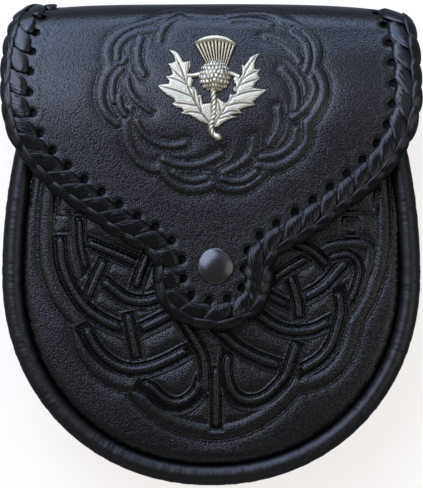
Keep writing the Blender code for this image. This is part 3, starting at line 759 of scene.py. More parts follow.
def copied(obj, name):
    twin = obj.copy()
    twin.data = obj.data.copy()
    twin.name = twin.data.name = name
    bpy.context.scene.collection.objects.link(twin)
    return twin


def turned_part(name, x, y, profile, sides):
    """A part turned about a vertical axis: a circle drawn up through (radius, height)."""
    deselect()
    radius, height = profile[0]
    bpy.ops.mesh.primitive_circle_add(
        vertices=sides, radius=radius, fill_type="NGON", location=(x, y, height)
    )
    obj = started(name)
    place_in_mesh(obj)
    edit_all(obj)
    for after_radius, after_height in profile[1:]:
        scale = after_radius / radius
        bpy.ops.mesh.extrude_region_move(
            TRANSFORM_OT_translate={"value": (0.0, 0.0, after_height - height)}
        )
        bpy.ops.transform.resize(
            value=(scale, scale, 1.0), center_override=(x, y, after_height)
        )
        radius, height = after_radius, after_height
    bpy.ops.mesh.select_all(action="SELECT")
    return face_out(obj)


def hex_points(low, high, spacing):
    """Points in staggered rows over a rectangle."""
    rows = np.arange(low[1], high[1], spacing * 0.866)
    points = []
    for number, y in enumerate(rows):
        x = np.arange(low[0] + (number % 2) * spacing / 2.0, high[0], spacing)
        points.append(np.stack([x, np.full(x.shape, y)], 1))
    return np.concatenate(points)


def filled(ring, holes, spacings, level=None):
    """Free points inside a ring and clear of its holes; level picks the spacing at points."""
    kept = []
    for number, step in enumerate(spacings):
        points = hex_points(ring.min(0), ring.max(0), step)
        if level is not None:
            points = points[level(points[:, 0], points[:, 1]) == number]
        points = points[inside(points[:, 0], points[:, 1], ring)]
        good = distance_to_ring(points[:, 0], points[:, 1], ring) > 0.45 * step
        for centre, radius in holes:
            away = np.hypot(points[:, 0] - centre[0], points[:, 1] - centre[1])
            good &= away > radius + 0.35 * step
        kept.append(points[good])
    return np.concatenate(kept)


def circle(centre, radius, sides):
    angle = np.arange(sides) * TAU / sides
    return np.stack([centre[0] + radius * np.cos(angle), centre[1] + radius * np.sin(angle)], 1)


def cut_leather(name, ring, holes, outer_points, inner_points, outer, inner):
    """A solid cut from a sheet: two triangulated faces that share their cut edges.

    Primitives and edit-mode cuts can't give an embossed face with an exact outline, so the
    faces are triangulated between the cut edges and the free points. outer and inner give
    the places of a face's points.
    """
    rings = [ring, *(circle(centre, radius, 20) for centre, radius in holes)]
    fixed = np.concatenate(rings)
    edges, first = [], 0
    for loop in rings:
        count = len(loop)
        edges += [(first + k, first + (k + 1) % count) for k in range(count)]
        first += count
    vertices, faces = [], []
    for free, place, flip in ((outer_points, outer, False), (inner_points, inner, True)):
        flat = np.concatenate([fixed, free])
        found = delaunay_2d_cdt([Vector(p) for p in flat], edges, [], 1, 1e-9, True)
        made, sources = found[0], found[3]
        source = [origin[0] for origin in sources]
        base = len(vertices)
        flat = np.array([(p.x, p.y) for p in made])
        vertices += list(place(flat[:, 0], flat[:, 1]))
        where = {origin: base + k for k, origin in enumerate(source)}
        middle = np.array([flat[list(face)].mean(0) for face in found[2]])
        kept = inside(middle[:, 0], middle[:, 1], ring)
        for centre, radius in holes:
            kept &= np.hypot(middle[:, 0] - centre[0], middle[:, 1] - centre[1]) > radius * 0.97
        for face in np.array(found[2])[kept]:
            corners = [base + int(k) for k in face]
            faces.append(corners[::-1] if flip else corners)
        if flip:
            for a, b in edges:
                faces.append((upper[a], where[a], where[b], upper[b]))
        upper = where
    mesh = bpy.data.meshes.new(name)
    mesh.from_pydata([tuple(v) for v in vertices], [], faces)
    obj = bpy.data.objects.new(name, mesh)
    bpy.context.scene.collection.objects.link(obj)
    edit_all(obj)
    return face_out(obj)


def mark(obj, name, values):
    """Keep a value from 0 to 1 for each vertex, for the materials to read."""
    attribute = obj.data.attributes.new(name, "FLOAT", "POINT")
    attribute.data.foreach_set("value", np.asarray(values, np.float32))


def finished(obj, material, node=None, smooth=40.0):
    """Place, shade and dress a piece, hang it on the root, and hide the imported part it replaces.
    """
    place_in_mesh(obj)
    bpy.ops.object.shade_smooth_by_angle(angle=math.radians(smooth))
    obj.data.materials.clear()
    obj.data.materials.append(material)
    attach(obj, "root")
    if node:
        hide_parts(node)
    return obj


# ---------------------------------------------------------------- materials

def new_group(name, inputs, outputs):
    group = bpy.data.node_groups.new(name, "ShaderNodeTree")
    for label, kind, default in inputs:
        socket = group.interface.new_socket(label, in_out="INPUT", socket_type=kind)
        if default is not None:
            socket.default_value = default
    for label, kind in outputs:
        group.interface.new_socket(label, in_out="OUTPUT", socket_type=kind)
    return group, Wiring(group)


class Wiring:
    """Short calls for adding nodes to a tree and joining them."""

    def __init__(self, tree):
        self.tree = tree
        self.start = self.end = None
        if tree.bl_idname == "ShaderNodeTree" and tree.interface.items_tree:
            self.start = tree.nodes.new("NodeGroupInput")
            self.end = tree.nodes.new("NodeGroupOutput")

    def node(self, kind, values=None, **settings):
        made = self.tree.nodes.new(kind)
        for name, value in settings.items():
            setattr(made, name, value)
        for socket, value in (values or {}).items():
            self.feed(made.inputs[socket], value)
        return made

    def feed(self, socket, value):
        if isinstance(value, bpy.types.NodeSocket):
            self.tree.links.new(value, socket)
        else:
            socket.default_value = value

    def math(self, operation, first, second=0.0, third=0.0):
        made = self.node("ShaderNodeMath", {0: first, 1: second, 2: third})
        made.operation = operation
        return made.outputs[0]

    def times(self, value, factor, plus=0.0):
        return self.math("MULTIPLY_ADD", value, factor, plus)

    def ramp(self, value, low, high):
        """From 0 at low to 1 at high."""
        made = self.node("ShaderNodeMapRange", {"Value": value, "From Min": low, "From Max": high})
        made.interpolation_type = "SMOOTHSTEP"
        return made.outputs["Result"]

    def scaled(self, vector, scale):
        return self.node("ShaderNodeMapping", {"Vector": vector, "Scale": scale}).outputs[0]

    def value(self, name):
        """A value that mark() kept on the mesh."""
        return self.node("ShaderNodeAttribute", attribute_name=name).outputs["Fac"]

    def placed(self, group, *values):
        """A node group fed in order; its outputs, one alone or several."""
        made = self.node("ShaderNodeGroup")
        made.node_tree = group
        for socket, value in zip(made.inputs, values):
            self.feed(socket, value)
        return made.outputs[0] if len(made.outputs) == 1 else tuple(made.outputs)

    def noise(self, vector, scale, detail=2.0, rough=0.5):
        made = self.node("ShaderNodeTexNoise", {
            "Vector": vector, "Scale": scale, "Detail": detail, "Roughness": rough,
        })
        return made.outputs["Fac"]

    def blend(self, share, first, second):
        """From a first colour to a second; a colour is a socket or (red, green, blue)."""
        made = self.node("ShaderNodeMix", data_type="RGBA")
        for index, value in ((0, share), (6, first), (7, second)):
            self.feed(made.inputs[index], (*value, 1.0) if isinstance(value, tuple) else value)
        return made.outputs[2]


def make_grain_group():
    """Pebbled leather grain: domed cells of uneven size with fine creases between them."""
    group, wires = new_group(
        "leather grain",
        [("Vector", "NodeSocketVector", None), ("Cells per metre", "NodeSocketFloat", 1900.0)],
        [("Height", "NodeSocketFloat"), ("Crease", "NodeSocketFloat")],
    )
    vector, cells = wires.start.outputs[0], wires.start.outputs[1]
    shift = wires.node("ShaderNodeTexNoise", {"Vector": vector, "Scale": 420.0, "Detail": 1.0})
    bent = wires.node("ShaderNodeVectorMath", {0: shift.outputs["Color"], 1: (0.0009,) * 3})
    bent.operation = "MULTIPLY"
    moved = wires.node("ShaderNodeVectorMath", {0: vector, 1: bent.outputs[0]})
    cell = wires.node("ShaderNodeTexVoronoi", {"Vector": moved.outputs[0], "Scale": cells})
    away = cell.outputs["Distance"]
    fine = wires.noise(vector, 5200.0, 2.0)
    dome = wires.math("SUBTRACT", 1.0, wires.math("POWER", away, 1.5))
    wires.feed(wires.end.inputs[0], wires.times(fine, 0.12, wires.times(dome, 0.8)))
    wires.feed(wires.end.inputs[1], wires.ramp(away, 0.42, 0.8))
    return group


def make_wear_group():
    """Uneven handling: soft clouds of polish and stretched scuff marks."""
    group, wires = new_group(
        "handling",
        [("Vector", "NodeSocketVector", None), ("Size", "NodeSocketFloat", 45.0)],
        [("Polish", "NodeSocketFloat"), ("Scuff", "NodeSocketFloat")],
    )
    vector, size = wires.start.outputs[0], wires.start.outputs[1]
    clouds = wires.noise(vector, size, 3.0, 0.55)
    marks = wires.noise(wires.scaled(vector, (1.0, 0.25, 1.0)), 900.0, 4.0, 0.65)
    wires.feed(wires.end.inputs[0], wires.ramp(clouds, 0.3, 0.7))
    wires.feed(wires.end.inputs[1], wires.ramp(marks, 0.62, 0.8))
    return group


def make_fibre_group():
    """Creases that run along a strip of lace, from its own UV map."""
    group, wires = new_group(
        "lace creases",
        [("UV", "NodeSocketVector", None), ("Across", "NodeSocketFloat", 14.0)],
        [("Height", "NodeSocketFloat")],
    )
    uv, across = wires.start.outputs[0], wires.start.outputs[1]
    scale = wires.node("ShaderNodeCombineXYZ", {"X": 1.6, "Y": across, "Z": 1.0})
    laid = wires.node("ShaderNodeVectorMath", {0: uv, 1: scale.outputs[0]})
    laid.operation = "MULTIPLY"
    broad = wires.noise(laid.outputs[0], 0.45, 2.0)
    thin = wires.noise(laid.outputs[0], 0.9, 2.0, 0.5)
    wires.feed(wires.end.inputs[0], wires.times(thin, 0.6, wires.times(broad, 0.5)))
    return group


def make_fold_group():
    """From 0 near the fold to 1 lower down, where gloss is taken away as a painted shade."""
    group, wires = new_group(
        "below the fold", [("Vector", "NodeSocketVector", None)], [("Below", "NodeSocketFloat")]
    )
    place = wires.node("ShaderNodeSeparateXYZ", {"Vector": wires.start.outputs[0]})
    wires.feed(wires.end.inputs[0], wires.ramp(place.outputs["Y"], 0.066, 0.036))
    return group


GRAIN = make_grain_group()
HANDLING = make_wear_group()
BELOW_FOLD = make_fold_group()
LACE_CREASES = make_fibre_group()


def new_material(name, roughness=0.5, specular=0.5, metallic=0.0):
    material = bpy.data.materials.new(name)
    material.use_nodes = True
    shader = material.node_tree.nodes["Principled BSDF"]
    shader.inputs["Roughness"].default_value = roughness
    shader.inputs["Specular IOR Level"].default_value = specular
    shader.inputs["Metallic"].default_value = metallic
    return material, shader, Wiring(material.node_tree)


def bumped(wires, shader, *layers):
    """Chain bumps of (height, depth in metres) into the shader's normal."""
    normal = None
    for height, depth in layers:
        values = {"Height": height, "Distance": depth, "Strength": 1.0}
        if normal is not None:
            values["Normal"] = normal
        normal = wires.node("ShaderNodeBump", values).outputs["Normal"]
    wires.feed(shader.inputs["Normal"], normal)


def take_gloss(wires, shader, share):
    """Take away a share of the gloss: where leather this dark counts as metal, it mirrors
    only its own tone. The export keeps Metallic, and would lose a linked specular level."""
    wires.feed(shader.inputs["Metallic"], share)


def object_vector(wires):
    return wires.node("ShaderNodeTexCoord").outputs["Object"]


def strip_vector(wires):
    return wires.node("ShaderNodeUVMap", uv_map="UVMap").outputs[0]


def embossed_leather():
    """Black pebbled leather. Painted shade: its grain creases and pressed grooves are darker, and
    they and the leather below the fold are duller.
    """
    material, shader, wires = new_material("black pebbled leather")
    vector = object_vector(wires)
    height, crease = wires.placed(GRAIN, vector, 1400.0)
    polish, _ = wires.placed(HANDLING, vector, 38.0)
    pressed = wires.value("pressed")
    tone = wires.blend(polish, (0.0028, 0.0028, 0.0032), (0.0042, 0.0042, 0.0047))
    # painted shade: the grain's creases are darkened
    tone = wires.blend(crease, tone, (0.0012, 0.0012, 0.0013))
    # painted shade: the pressed grooves are darkened
    tone = wires.blend(wires.times(pressed, 0.6), tone, (0.0010, 0.0010, 0.0011))
    wires.feed(shader.inputs["Base Color"], tone)
    rough = wires.times(crease, 0.21, wires.times(polish, -0.03, 0.148))
    wires.feed(shader.inputs["Roughness"], rough)
    # the leather is drawn smooth over the fold, so below it the grain is deeper; its gloss is
    # taken away in the grain creases, in the pressed grooves and below the fold, a painted shade
    # that darkens them
    below = wires.placed(BELOW_FOLD, vector)
    dull = wires.times(crease, 0.28, wires.times(below, 0.2))
    dull = wires.times(pressed, 0.4, dull)
    take_gloss(wires, shader, wires.math("MINIMUM", dull, 0.9))
    deep = wires.math("MULTIPLY", wires.times(below, 0.7, 1.0), wires.times(pressed, -0.4, 1.0))
    bumped(wires, shader, (wires.noise(vector, 130.0), 0.00005),
           (wires.math("MULTIPLY", height, deep), 0.00010))
    return material


def rim_leather():
    """Smoother black leather drawn round the rim, with fine wrinkles across it."""
    material, shader, wires = new_material("black rim leather", specular=0.36)
    vector, uv = object_vector(wires), strip_vector(wires)
    polish, _ = wires.placed(HANDLING, vector, 60.0)
    height, _ = wires.placed(GRAIN, vector, 2600.0)
    across = wires.noise(wires.scaled(uv, (260.0, 2.2, 1.0)), 1.0, 3.0, 0.6)
    fine = wires.noise(wires.scaled(uv, (900.0, 5.0, 1.0)), 1.0)
    tone = wires.blend(polish, (0.0032, 0.0032, 0.0038), (0.0056, 0.0056, 0.0064))
    # painted shade: the low lines of the wrinkles are darkened
    tone = wires.blend(wires.ramp(across, 0.52, 0.3), tone, (0.0030, 0.0030, 0.0036))
    wires.feed(shader.inputs["Base Color"], tone)
    wires.feed(shader.inputs["Roughness"], wires.times(polish, -0.08, 0.38))
    bumped(wires, shader, (across, 0.00018), (fine, 0.00008), (height, 0.00004))
    return material


def lace_leather():
    """Glossy black lace with creases along each strap."""
    material, shader, wires = new_material("black lace")
    uv, vector = strip_vector(wires), object_vector(wires)
    creases = wires.placed(LACE_CREASES, uv)
    polish, _ = wires.placed(HANDLING, vector, 120.0)
    hidden = wires.value("hidden")
    tone = wires.blend(polish, (0.0030, 0.0030, 0.0036), (0.0058, 0.0058, 0.0068))
    # painted shade: the valleys of the lace's creases are darkened
    tone = wires.blend(wires.ramp(creases, 0.52, 0.36), tone, (0.0025, 0.0025, 0.0028))
    # the cut edges are painted paler: partly the raw edge's own tone, partly a painted highlight
    # along the edges
    edge = wires.times(wires.value("cut_edge"), 0.6)
    tone = wires.blend(edge, tone, (0.0240, 0.0230, 0.0240))
    # painted shade: the strap goes near black where it lies down in its hole
    tone = wires.blend(hidden, tone, (0.0010, 0.0010, 0.0010))
    wires.feed(shader.inputs["Base Color"], tone)
    rough = wires.times(hidden, 0.5, wires.times(polish, -0.05, 0.18))
    wires.feed(shader.inputs["Roughness"], rough)
    # painted shade: lower down, away from the fold, the lace's gloss is taken away
    take_gloss(wires, shader, wires.times(wires.placed(BELOW_FOLD, vector), 0.48))
    bumped(wires, shader, (creases, 0.00027))
    return material


def back_leather():
    """Plain black leather of the back and loops, paler where it has rubbed."""
    material, shader, wires = new_material("plain black leather", specular=0.45)
    vector = object_vector(wires)
    height, crease = wires.placed(GRAIN, vector, 2300.0)
    polish, scuff = wires.placed(HANDLING, vector, 30.0)
    tone = wires.blend(polish, (0.0170, 0.0165, 0.0170), (0.0260, 0.0250, 0.0255))
    tone = wires.blend(wires.times(scuff, 0.35), tone, (0.0550, 0.0520, 0.0510))
    # painted shade: the grain's creases are darkened
    tone = wires.blend(wires.times(crease, 0.6), tone, (0.0090, 0.0088, 0.0090))
    wires.feed(shader.inputs["Base Color"], tone)
    wires.feed(shader.inputs["Roughness"], wires.times(polish, -0.1, 0.6))
    bumped(wires, shader, (wires.noise(vector, 90.0), 0.00025), (height, 0.00007))
    return material


def waxed_thread():
    """Black waxed thread with its twist."""
    material, shader, wires = new_material("black waxed thread", roughness=0.45)
    twist = wires.noise(object_vector(wires), 3800.0)
    # tone follows the twist's bump: partly the thread's own uneven tone, partly painted shade in
    # its low places
    tone = wires.blend(twist, (0.0080, 0.0080, 0.0090), (0.0220, 0.0215, 0.0220))
    wires.feed(shader.inputs["Base Color"], tone)
    bumped(wires, shader, (twist, 0.00008))
    return material


def badge_metal():
    """Satin cast metal, dark and brownish in its recesses."""
    material, shader, wires = new_material("antiqued silver", metallic=1.0)
    vector = object_vector(wires)
    clouds = wires.noise(vector, 260.0, 3.0, 0.55)
    dark = wires.ramp(wires.times(clouds, 0.3, wires.value("recess")), 0.4, 1.1)
    tone = wires.blend(clouds, (0.57, 0.52, 0.39), (0.66, 0.605, 0.46))
    tone = wires.blend(dark, tone, (0.075, 0.060, 0.045))
    wires.feed(shader.inputs["Base Color"], tone)
    wires.feed(shader.inputs["Roughness"], wires.times(dark, 0.12, 0.43))
    bumped(wires, shader, (wires.noise(vector, 1500.0, 3.0, 0.6), 0.00004))
    return material


def stud_metal():
    """Dark nickel plate, polished, with hairline scratches."""
    material, shader, wires = new_material("dark nickel", metallic=1.0)
    vector = object_vector(wires)
    clouds = wires.noise(vector, 220.0, 3.0)
    scratch = wires.noise(wires.scaled(vector, (1.0, 14.0, 1.0)), 420.0, 3.0, 0.6)
    tone = wires.blend(clouds, (0.070, 0.071, 0.074), (0.090, 0.091, 0.095))
    wires.feed(shader.inputs["Base Color"], tone)
    rough = wires.times(wires.ramp(scratch, 0.5, 0.8), 0.08, 0.21)
    wires.feed(shader.inputs["Roughness"], rough)
    bumped(wires, shader, (scratch, 0.00001))
    return material


BODY_LEATHER = embossed_leather()
RIM_LEATHER = rim_leather()
LACE = lace_leather()
BACK_LEATHER = back_leather()
THREAD = waxed_thread()
BADGE_METAL = badge_metal()
STUD_METAL = stud_metal()


# ---------------------------------------------------------------- stitches

STITCH_LONG = 3.2 * MM
STITCH_THICK = 0.75 * MM
STITCH_SHARE = 0.86               # of the way from one hole to the next
STITCH_SINK = 0.1                 # how deep it lies, as a share of its thickness


def stitch_model():
    """One stitch: a short round rod, drawn in at both ends where it enters the leather."""
    deselect()
    bpy.ops.mesh.primitive_cylinder_add(
        vertices=6, radius=0.5, depth=1.0, end_fill_type="NGON", rotation=(0.0, math.pi / 2, 0.0)
    )
    obj = started("stitch")
    place_in_mesh(obj)
    edit_all(obj)
    cut_at(0, (-0.34, 0.0, 0.34))
    done(obj)
    points = coords(obj)
    end = np.abs(points[:, 0]) > 0.45
    points[:, 1:] *= np.where(end, 0.55, 1.0)[:, None]
    points[:, 2] -= np.where(end, 0.55, 0.0)
    set_coords(obj, points)
    return obj


def sewn(name, seams):
    """Stitches along seams of (points, outward normals), joined as one piece."""
    model = stitch_model()
    base = coords(model)
    pieces = []
    for points, normals in seams:
        for start, end, normal in zip(points, points[1:], normals):
            along = end - start
            length = np.linalg.norm(along)
            along = along / length
            across = np.cross(normal, along)
            across /= np.linalg.norm(across)
            up = np.cross(along, across)
            middle = (start + end) / 2.0
            made = copied(model, name)
            set_coords(made, middle + base[:, :1] * along * length * STITCH_SHARE
                       + base[:, 1:2] * across * STITCH_THICK
                       + (base[:, 2:] - STITCH_SINK) * up * STITCH_THICK)
            pieces.append(made)
    bpy.data.objects.remove(model)
    obj = joined(name, pieces)
    return finished(obj, THREAD, smooth=50.0)


def seam_points(line, step=STITCH_LONG):
    """A 3D line cut into stitch lengths."""
    return even_line(line, max(2, int(round(lengths_along(line)[-1] / step)) + 1))


def seam_below(line, step=STITCH_LONG):
    """A seam on a side that faces down."""
    points = seam_points(line, step)
    return points, np.tile([0.0, 0.0, -1.0], (len(points), 1))


# ---------------------------------------------------------------- body pieces

def make_back_panel():
    """The back: a round blank set to the outline, cut across, draped and thickened."""
    ring = inset_ring(BACK_INSET, BACK_TOP_Y, 26, 60, 40)
    deselect()
    bpy.ops.mesh.primitive_circle_add(vertices=len(ring), radius=1.0, fill_type="NGON")
    obj = started("back")
    flat = np.zeros((len(ring), 3))
    flat[:, :2] = ring[::-1]
    set_coords(obj, flat)
    edit_all(obj)
    cut_at(1, np.arange(-98.0, 84.0, 4.0) * MM)
    cut_at(0, np.arange(-80.0, 81.0, 8.0) * MM)
    face_out(obj)
    points = coords(obj)
    points[:, 2] = back_outer_z(points[:, 1])
    set_coords(obj, points)
    if sum(face.normal.z for face in obj.data.polygons) > 0.0:
        edit_all(obj)
        bpy.ops.mesh.flip_normals()
        done(obj)
    modify(obj, "SOLIDIFY", thickness=BACK_THICK, offset=-1.0)
    ease_edges(obj, 0.5 * MM, 50.0)
    return finished(obj, BACK_LEATHER, "back_panel")


# In mm: outward offset, share of the height, extra height
GUSSET_SECTION = np.array([
    (-2.0, 0.0, 0.9), (-5.2, 0.0, 0.9), (-7.0, 0.0, 2.6), (-8.6, 0.5, 0.0),
    (-7.0, 1.0, -2.6), (-5.2, 1.0, -0.9), (-2.0, 1.0, -0.9),
])
GUSSET_STATIONS = 321
RIM_STATIONS = 721
RIM_LINE, RIM_OUTWARD = rim_line(60, 120)
EDGE_TURN = 1.9 * MM              # how far the front's edge is drawn down into the rim
BARE_REACH = 9.0 * MM             # how far under the flap the knotwork is followed


def make_gusset():
    """The gusset: a grid laid along the rim in a U section, with soft gathers, thickened."""
    points, outward = rim_line(40, 80)
    line = even_line(points, GUSSET_STATIONS)
    stations = np.arange(GUSSET_STATIONS)
    normals = read_at(np.linspace(0.0, 1.0, GUSSET_STATIONS), shares_along(points), outward)
    shares = np.linspace(0.0, 1.0, len(GUSSET_SECTION))

    def place(u, v):
        station = u * (GUSSET_STATIONS - 1.0)
        at = read_at(station, stations, line).T
        out = read_at(station, stations, normals).T
        offset, share, extra = read_at(v, shares, GUSSET_SECTION).T
        middle = np.sin(v * math.pi) ** 2
        offset = offset * MM
        low = back_inner_z(at[1] + out[1] * offset) + GAP
        high = roll_centre_z(at[1] + out[1] * offset) - ROLL_RADIUS - GAP
        turn = ease(np.abs(u - 0.5), 0.42, 0.05)
        gather = np.sin(u * 460.0 + 2.0 * np.sin(u * 37.0)) * (0.25 + 0.75 * turn)
        offset = offset + 0.35 * MM * gather * middle
        z = low + (high - low) * share + extra * MM
        return np.stack([at[0] + out[0] * offset, at[1] + out[1] * offset, z], 1)

    obj = laid_grid("gusset_side", GUSSET_STATIONS - 1, 18, place)
    edit_all(obj)
    bpy.ops.mesh.remove_doubles(threshold=1e-6)
    face_out(obj)
    modify(obj, "SOLIDIFY", thickness=GUSSET_THICK, offset=0.0)
    ease_edges(obj, 0.35 * MM, 55.0)
    return finished(obj, BODY_LEATHER, "gusset", smooth=50.0)


def make_front_panel():
    """The embossed front: pressed only where the flap leaves it bare."""
    ring = inset_ring(FRONT_INSET, MOUTH_Y, 60, 130, 60)

    def cover(x, y):
        """How far a point lies inside the flap's outline, in metres."""
        under = inside(x, y, EDGE_LINE)
        away = distance_to_ring(x, y, EDGE_LINE[::4])
        return np.where(under, away, 0.0)

    relief = Relief(photo_place, (-76.0 * MM, -86.0 * MM), (78.0 * MM, 34.0 * MM),
                    ribbons=KNOT_RIBBONS_PX, bands=KNOT_BANDS_PX, lines=KNOT_LINES_PX)

    def level(x, y):
        seen = cover(x, y) < BARE_REACH
        height = np.abs(relief.at(x, y))
        return np.where(seen, (height > 0.02).astype(int) + (height > 0.13), 0)

    outer_points = filled(ring, [], (1.8 * MM, 0.7 * MM, 0.36 * MM), level)
    inner_points = filled(ring, [], (5.0 * MM,))

    def turned_down(edge):
        return EDGE_TURN * (1.0 - ease(edge, -1.0 * MM, 3.8 * MM)) ** 1.3

    def outer(x, y):
        shown = 1.0 - ease(cover(x, y), 4.0 * MM, BARE_REACH)
        pattern = relief.at(x, y)
        edge = distance_to_ring(x, y, ring)
        z = front_outer_z(x, y) + KNOT_DEPTH * pattern * shown - turned_down(edge)
        z = z + 0.18 * MM * wander(x, y, 34.0 * MM, 2.0) * ease(edge, 0.0, 12.0 * MM)
        # the pressed mark: how deep a point lies in a groove, for the painted shade there
        marks.append(ease(-pattern * shown, 0.35, 1.0))
        return np.stack([x, y, z], 1)

    def inner(x, y):
        edge = distance_to_ring(x, y, ring)
        marks.append(np.zeros(x.shape))
        z = front_outer_z(x, y) - FRONT_THICK - turned_down(edge) * 0.4
        return np.stack([x, y, z], 1)

    marks = []
    obj = cut_leather("front", ring, [], outer_points, inner_points, outer, inner)
    mark(obj, "pressed", np.concatenate(marks))
    return finished(obj, BODY_LEATHER, "front_panel", smooth=60.0)


def make_rim():
    """The rolled rim: a grid laid round a tube, with soft lumps where it is sewn."""
    stations = np.linspace(0.0, 1.0, RIM_STATIONS)
    line, normals = (
        read_at(stations, shares_along(RIM_LINE), table) for table in (RIM_LINE, RIM_OUTWARD)
    )

    def place(u, v):
        at = read_at(u, stations, line).T
        out = read_at(u, stations, normals).T
        angle = v * TAU - math.pi / 2.0
        lump = 0.05 * MM * np.sin(u * 1150.0 + 1.5 * np.sin(u * 61.0))
        lump = lump + 0.09 * MM * np.sin(u * 410.0 + 2.0 * np.sin(u * 23.0) + v * 7.0)
        lump = lump * (0.6 + 0.4 * np.sin(u * 97.0))
        end = np.minimum(u, 1.0 - u)
        radius = ROLL_RADIUS * np.sqrt(ease(end, -0.004, 0.006)) + lump - 0.06 * MM
        flat = radius * np.cos(angle) - ROLL_RADIUS
        x, y = at[0] + out[0] * flat, at[1] + out[1] * flat
        z = roll_centre_z(y) + radius * np.sin(angle)
        return np.stack([x, y, z], 1)

    obj = laid_grid("rolled_rim", RIM_STATIONS - 1, 26, place)
    cap_ends(obj)
    finished(obj, RIM_LEATHER, "edge_roll", smooth=60.0)
    return obj


# How the flap sinks in round a lacing hole, and rises in a ring about it
PUCKER_SINK = 0.55 * MM
PUCKER_REACH = 2.6 * MM
PUCKER_RISE = 0.28 * MM
PUCKER_RING = 3.3 * MM


def make_flap():
    """The flap: its flat pattern embossed, punched and folded over the mouth."""
    edge = even_line(EDGE_LINE, 620)
    tail = TURN_END + FLAP_TAIL
    half = edge[0][0]
    side = np.linspace(edge[-1][1], tail, 12)[1:]
    top = np.linspace(-half, half, 60)[1:-1]
    ring = np.concatenate([
        edge,
        np.stack([np.full(side.shape, -half), side], 1),
        np.stack([top, np.full(top.shape, tail)], 1),
        np.stack([np.full(side.shape, half), side[::-1]], 1),
    ])
    holes = [(point, LACE_HOLE_RADIUS) for _, point in LACE_HOLES]
    holes.append(((STUD_X, STUD_Y), POST_RADIUS + GAP))
    for sign in (-1.0, 1.0):
        holes.append(((BADGE_X + sign * POST_SPREAD, BADGE_ALONG), BADGE_POST_RADIUS + GAP))
    wreath_low, wreath_high = flap_place((80, 208)), flap_place((346, 5))
    relief = Relief(flap_place, wreath_low, wreath_high,
                    bands=WREATH_BANDS_PX, strands=WREATH_STRANDS_PX)
    faint, strong = flap_place((213, 30))[1], flap_place((213, 125))[1]

    def pressed(x, along):
        """The wreath's depth: hardly marked near the fold, deep towards the tongue."""
        return relief.at(x, along) * (1.0 - 0.5 * ease(along, strong, faint))

    def level(x, along):
        height = np.abs(pressed(x, along))
        return (height > 0.02).astype(int) + (height > 0.10)

    outer_points = filled(ring, holes, (1.3 * MM, 0.7 * MM, 0.36 * MM), level)
    inner_points = filled(ring, holes, (2.2 * MM,))

    def worked(x, along):
        """Puckers round the holes, and a slow unevenness of the leather."""
        height = 0.22 * MM * wander(x, along, 46.0 * MM, 1.0)
        for _, point in LACE_HOLES:
            away = np.hypot(x - point[0], along - point[1])
            height = height - PUCKER_SINK * np.exp(-(away / PUCKER_REACH) ** 2)
            height = height + PUCKER_RISE * np.exp(-((away - PUCKER_RING) / MM) ** 2)
        return height

    def outer(x, along):
        pattern = pressed(x, along)
        # the pressed mark for the painted shade in the grooves, at full depth even where the
        # wreath is faint
        marks.append(ease(-relief.at(x, along), 0.45, 1.0))
        return fold(x, along, WREATH_DEPTH * pattern + worked(x, along))

    def inner(x, along):
        marks.append(np.zeros(x.shape))
        return fold(x, along, np.full(x.shape, -FLAP_THICK))

    marks = []
    obj = cut_leather("folded_flap", ring, holes, outer_points, inner_points, outer, inner)
    mark(obj, "pressed", np.concatenate(marks))
    return finished(obj, BODY_LEATHER, "flap", smooth=60.0)


# ---------------------------------------------------------------- lacing

LACE_THICK = 0.95 * MM
LACE_PATTERN = 9.0 * MM           # the length of lace that its creases' pattern is drawn for
USUAL_PITCH = 9.2 * MM
STRAP_TILT = 0.5 * MM             # each strap lies over the next one down the edge
# The strap's way round the edge: outward from the edge and height over the outer face, in mm
STRAP_WAY = (
    (-7.75, -2.1), (-7.8, -0.9), (-7.45, 0.2), (-6.6, 0.85), (-5.0, 1.15), (-3.0, 1.25),
    (-1.2, 1.15), (0.2, 0.7), (1.05, -0.1), (1.35, -1.2), (1.05, -2.4), (0.0, -3.15),
    (-2.0, -3.4), (-5.0, -3.45), (-8.0, -3.4), (-11.4, -3.2),
)
STRAP_HALF = ((0.0, 1.4), (0.06, 1.75), (0.09, 2.3), (0.125, 3.1), (0.17, 3.6), (0.26, 3.8),
              (0.4, 3.7), (0.6, 3.2), (0.85, 2.9), (1.0, 2.4))
# How far a strap runs along the edge for each mm outward, at distances down each side in mm
SLANT_STATIONS = (
    (25.0, 1.00), (60.0, 1.35), (88.0, 1.60), (104.0, 1.50), (117.0, 0.90), (165.0, 0.78),
    (178.0, 1.25), (194.0, 1.40), (205.0, 1.15), (222.0, 1.00), (236.0, 0.70), (246.0, 0.10),
    (259.0, 0.15), (264.0, 1.00), (272.0, 1.30), (326.0, 1.33), (338.0, 0.85), (352.0, 0.75),
)
# A braid leaf's way: along the edge, outward, height, and the lean of its face, in mm
LEAF_WAY = (
    (-6.6, 0.5, 1.15, 0.30), (-5.2, 0.7, 1.6, 0.34), (-2.8, 1.0, 1.75, 0.42),
    (0.0, 1.3, 1.45, 0.52), (2.8, 1.5, 0.9, 0.60), (5.0, 1.5, 0.2, 0.64), (6.6, 1.3, -0.6, 0.66),
)
LEAF_HALF = ((0.0, 0.35), (0.1, 1.3), (0.28, 2.3), (0.55, 2.75), (0.8, 2.6), (0.93, 2.1),
             (1.0, 1.4))
SIDE_WAY = (
    (-5.4, 1.2, -3.0, 0.95), (-3.4, 1.8, -2.3, 0.97), (-0.6, 2.15, -1.5, 0.98),
    (2.2, 2.2, -0.8, 0.94), (4.2, 1.9, -0.2, 0.85), (5.4, 1.4, 0.2, 0.7),
)
SIDE_HALF = ((0.0, 0.9), (0.2, 1.5), (0.5, 1.8), (0.8, 1.5), (1.0, 0.9))


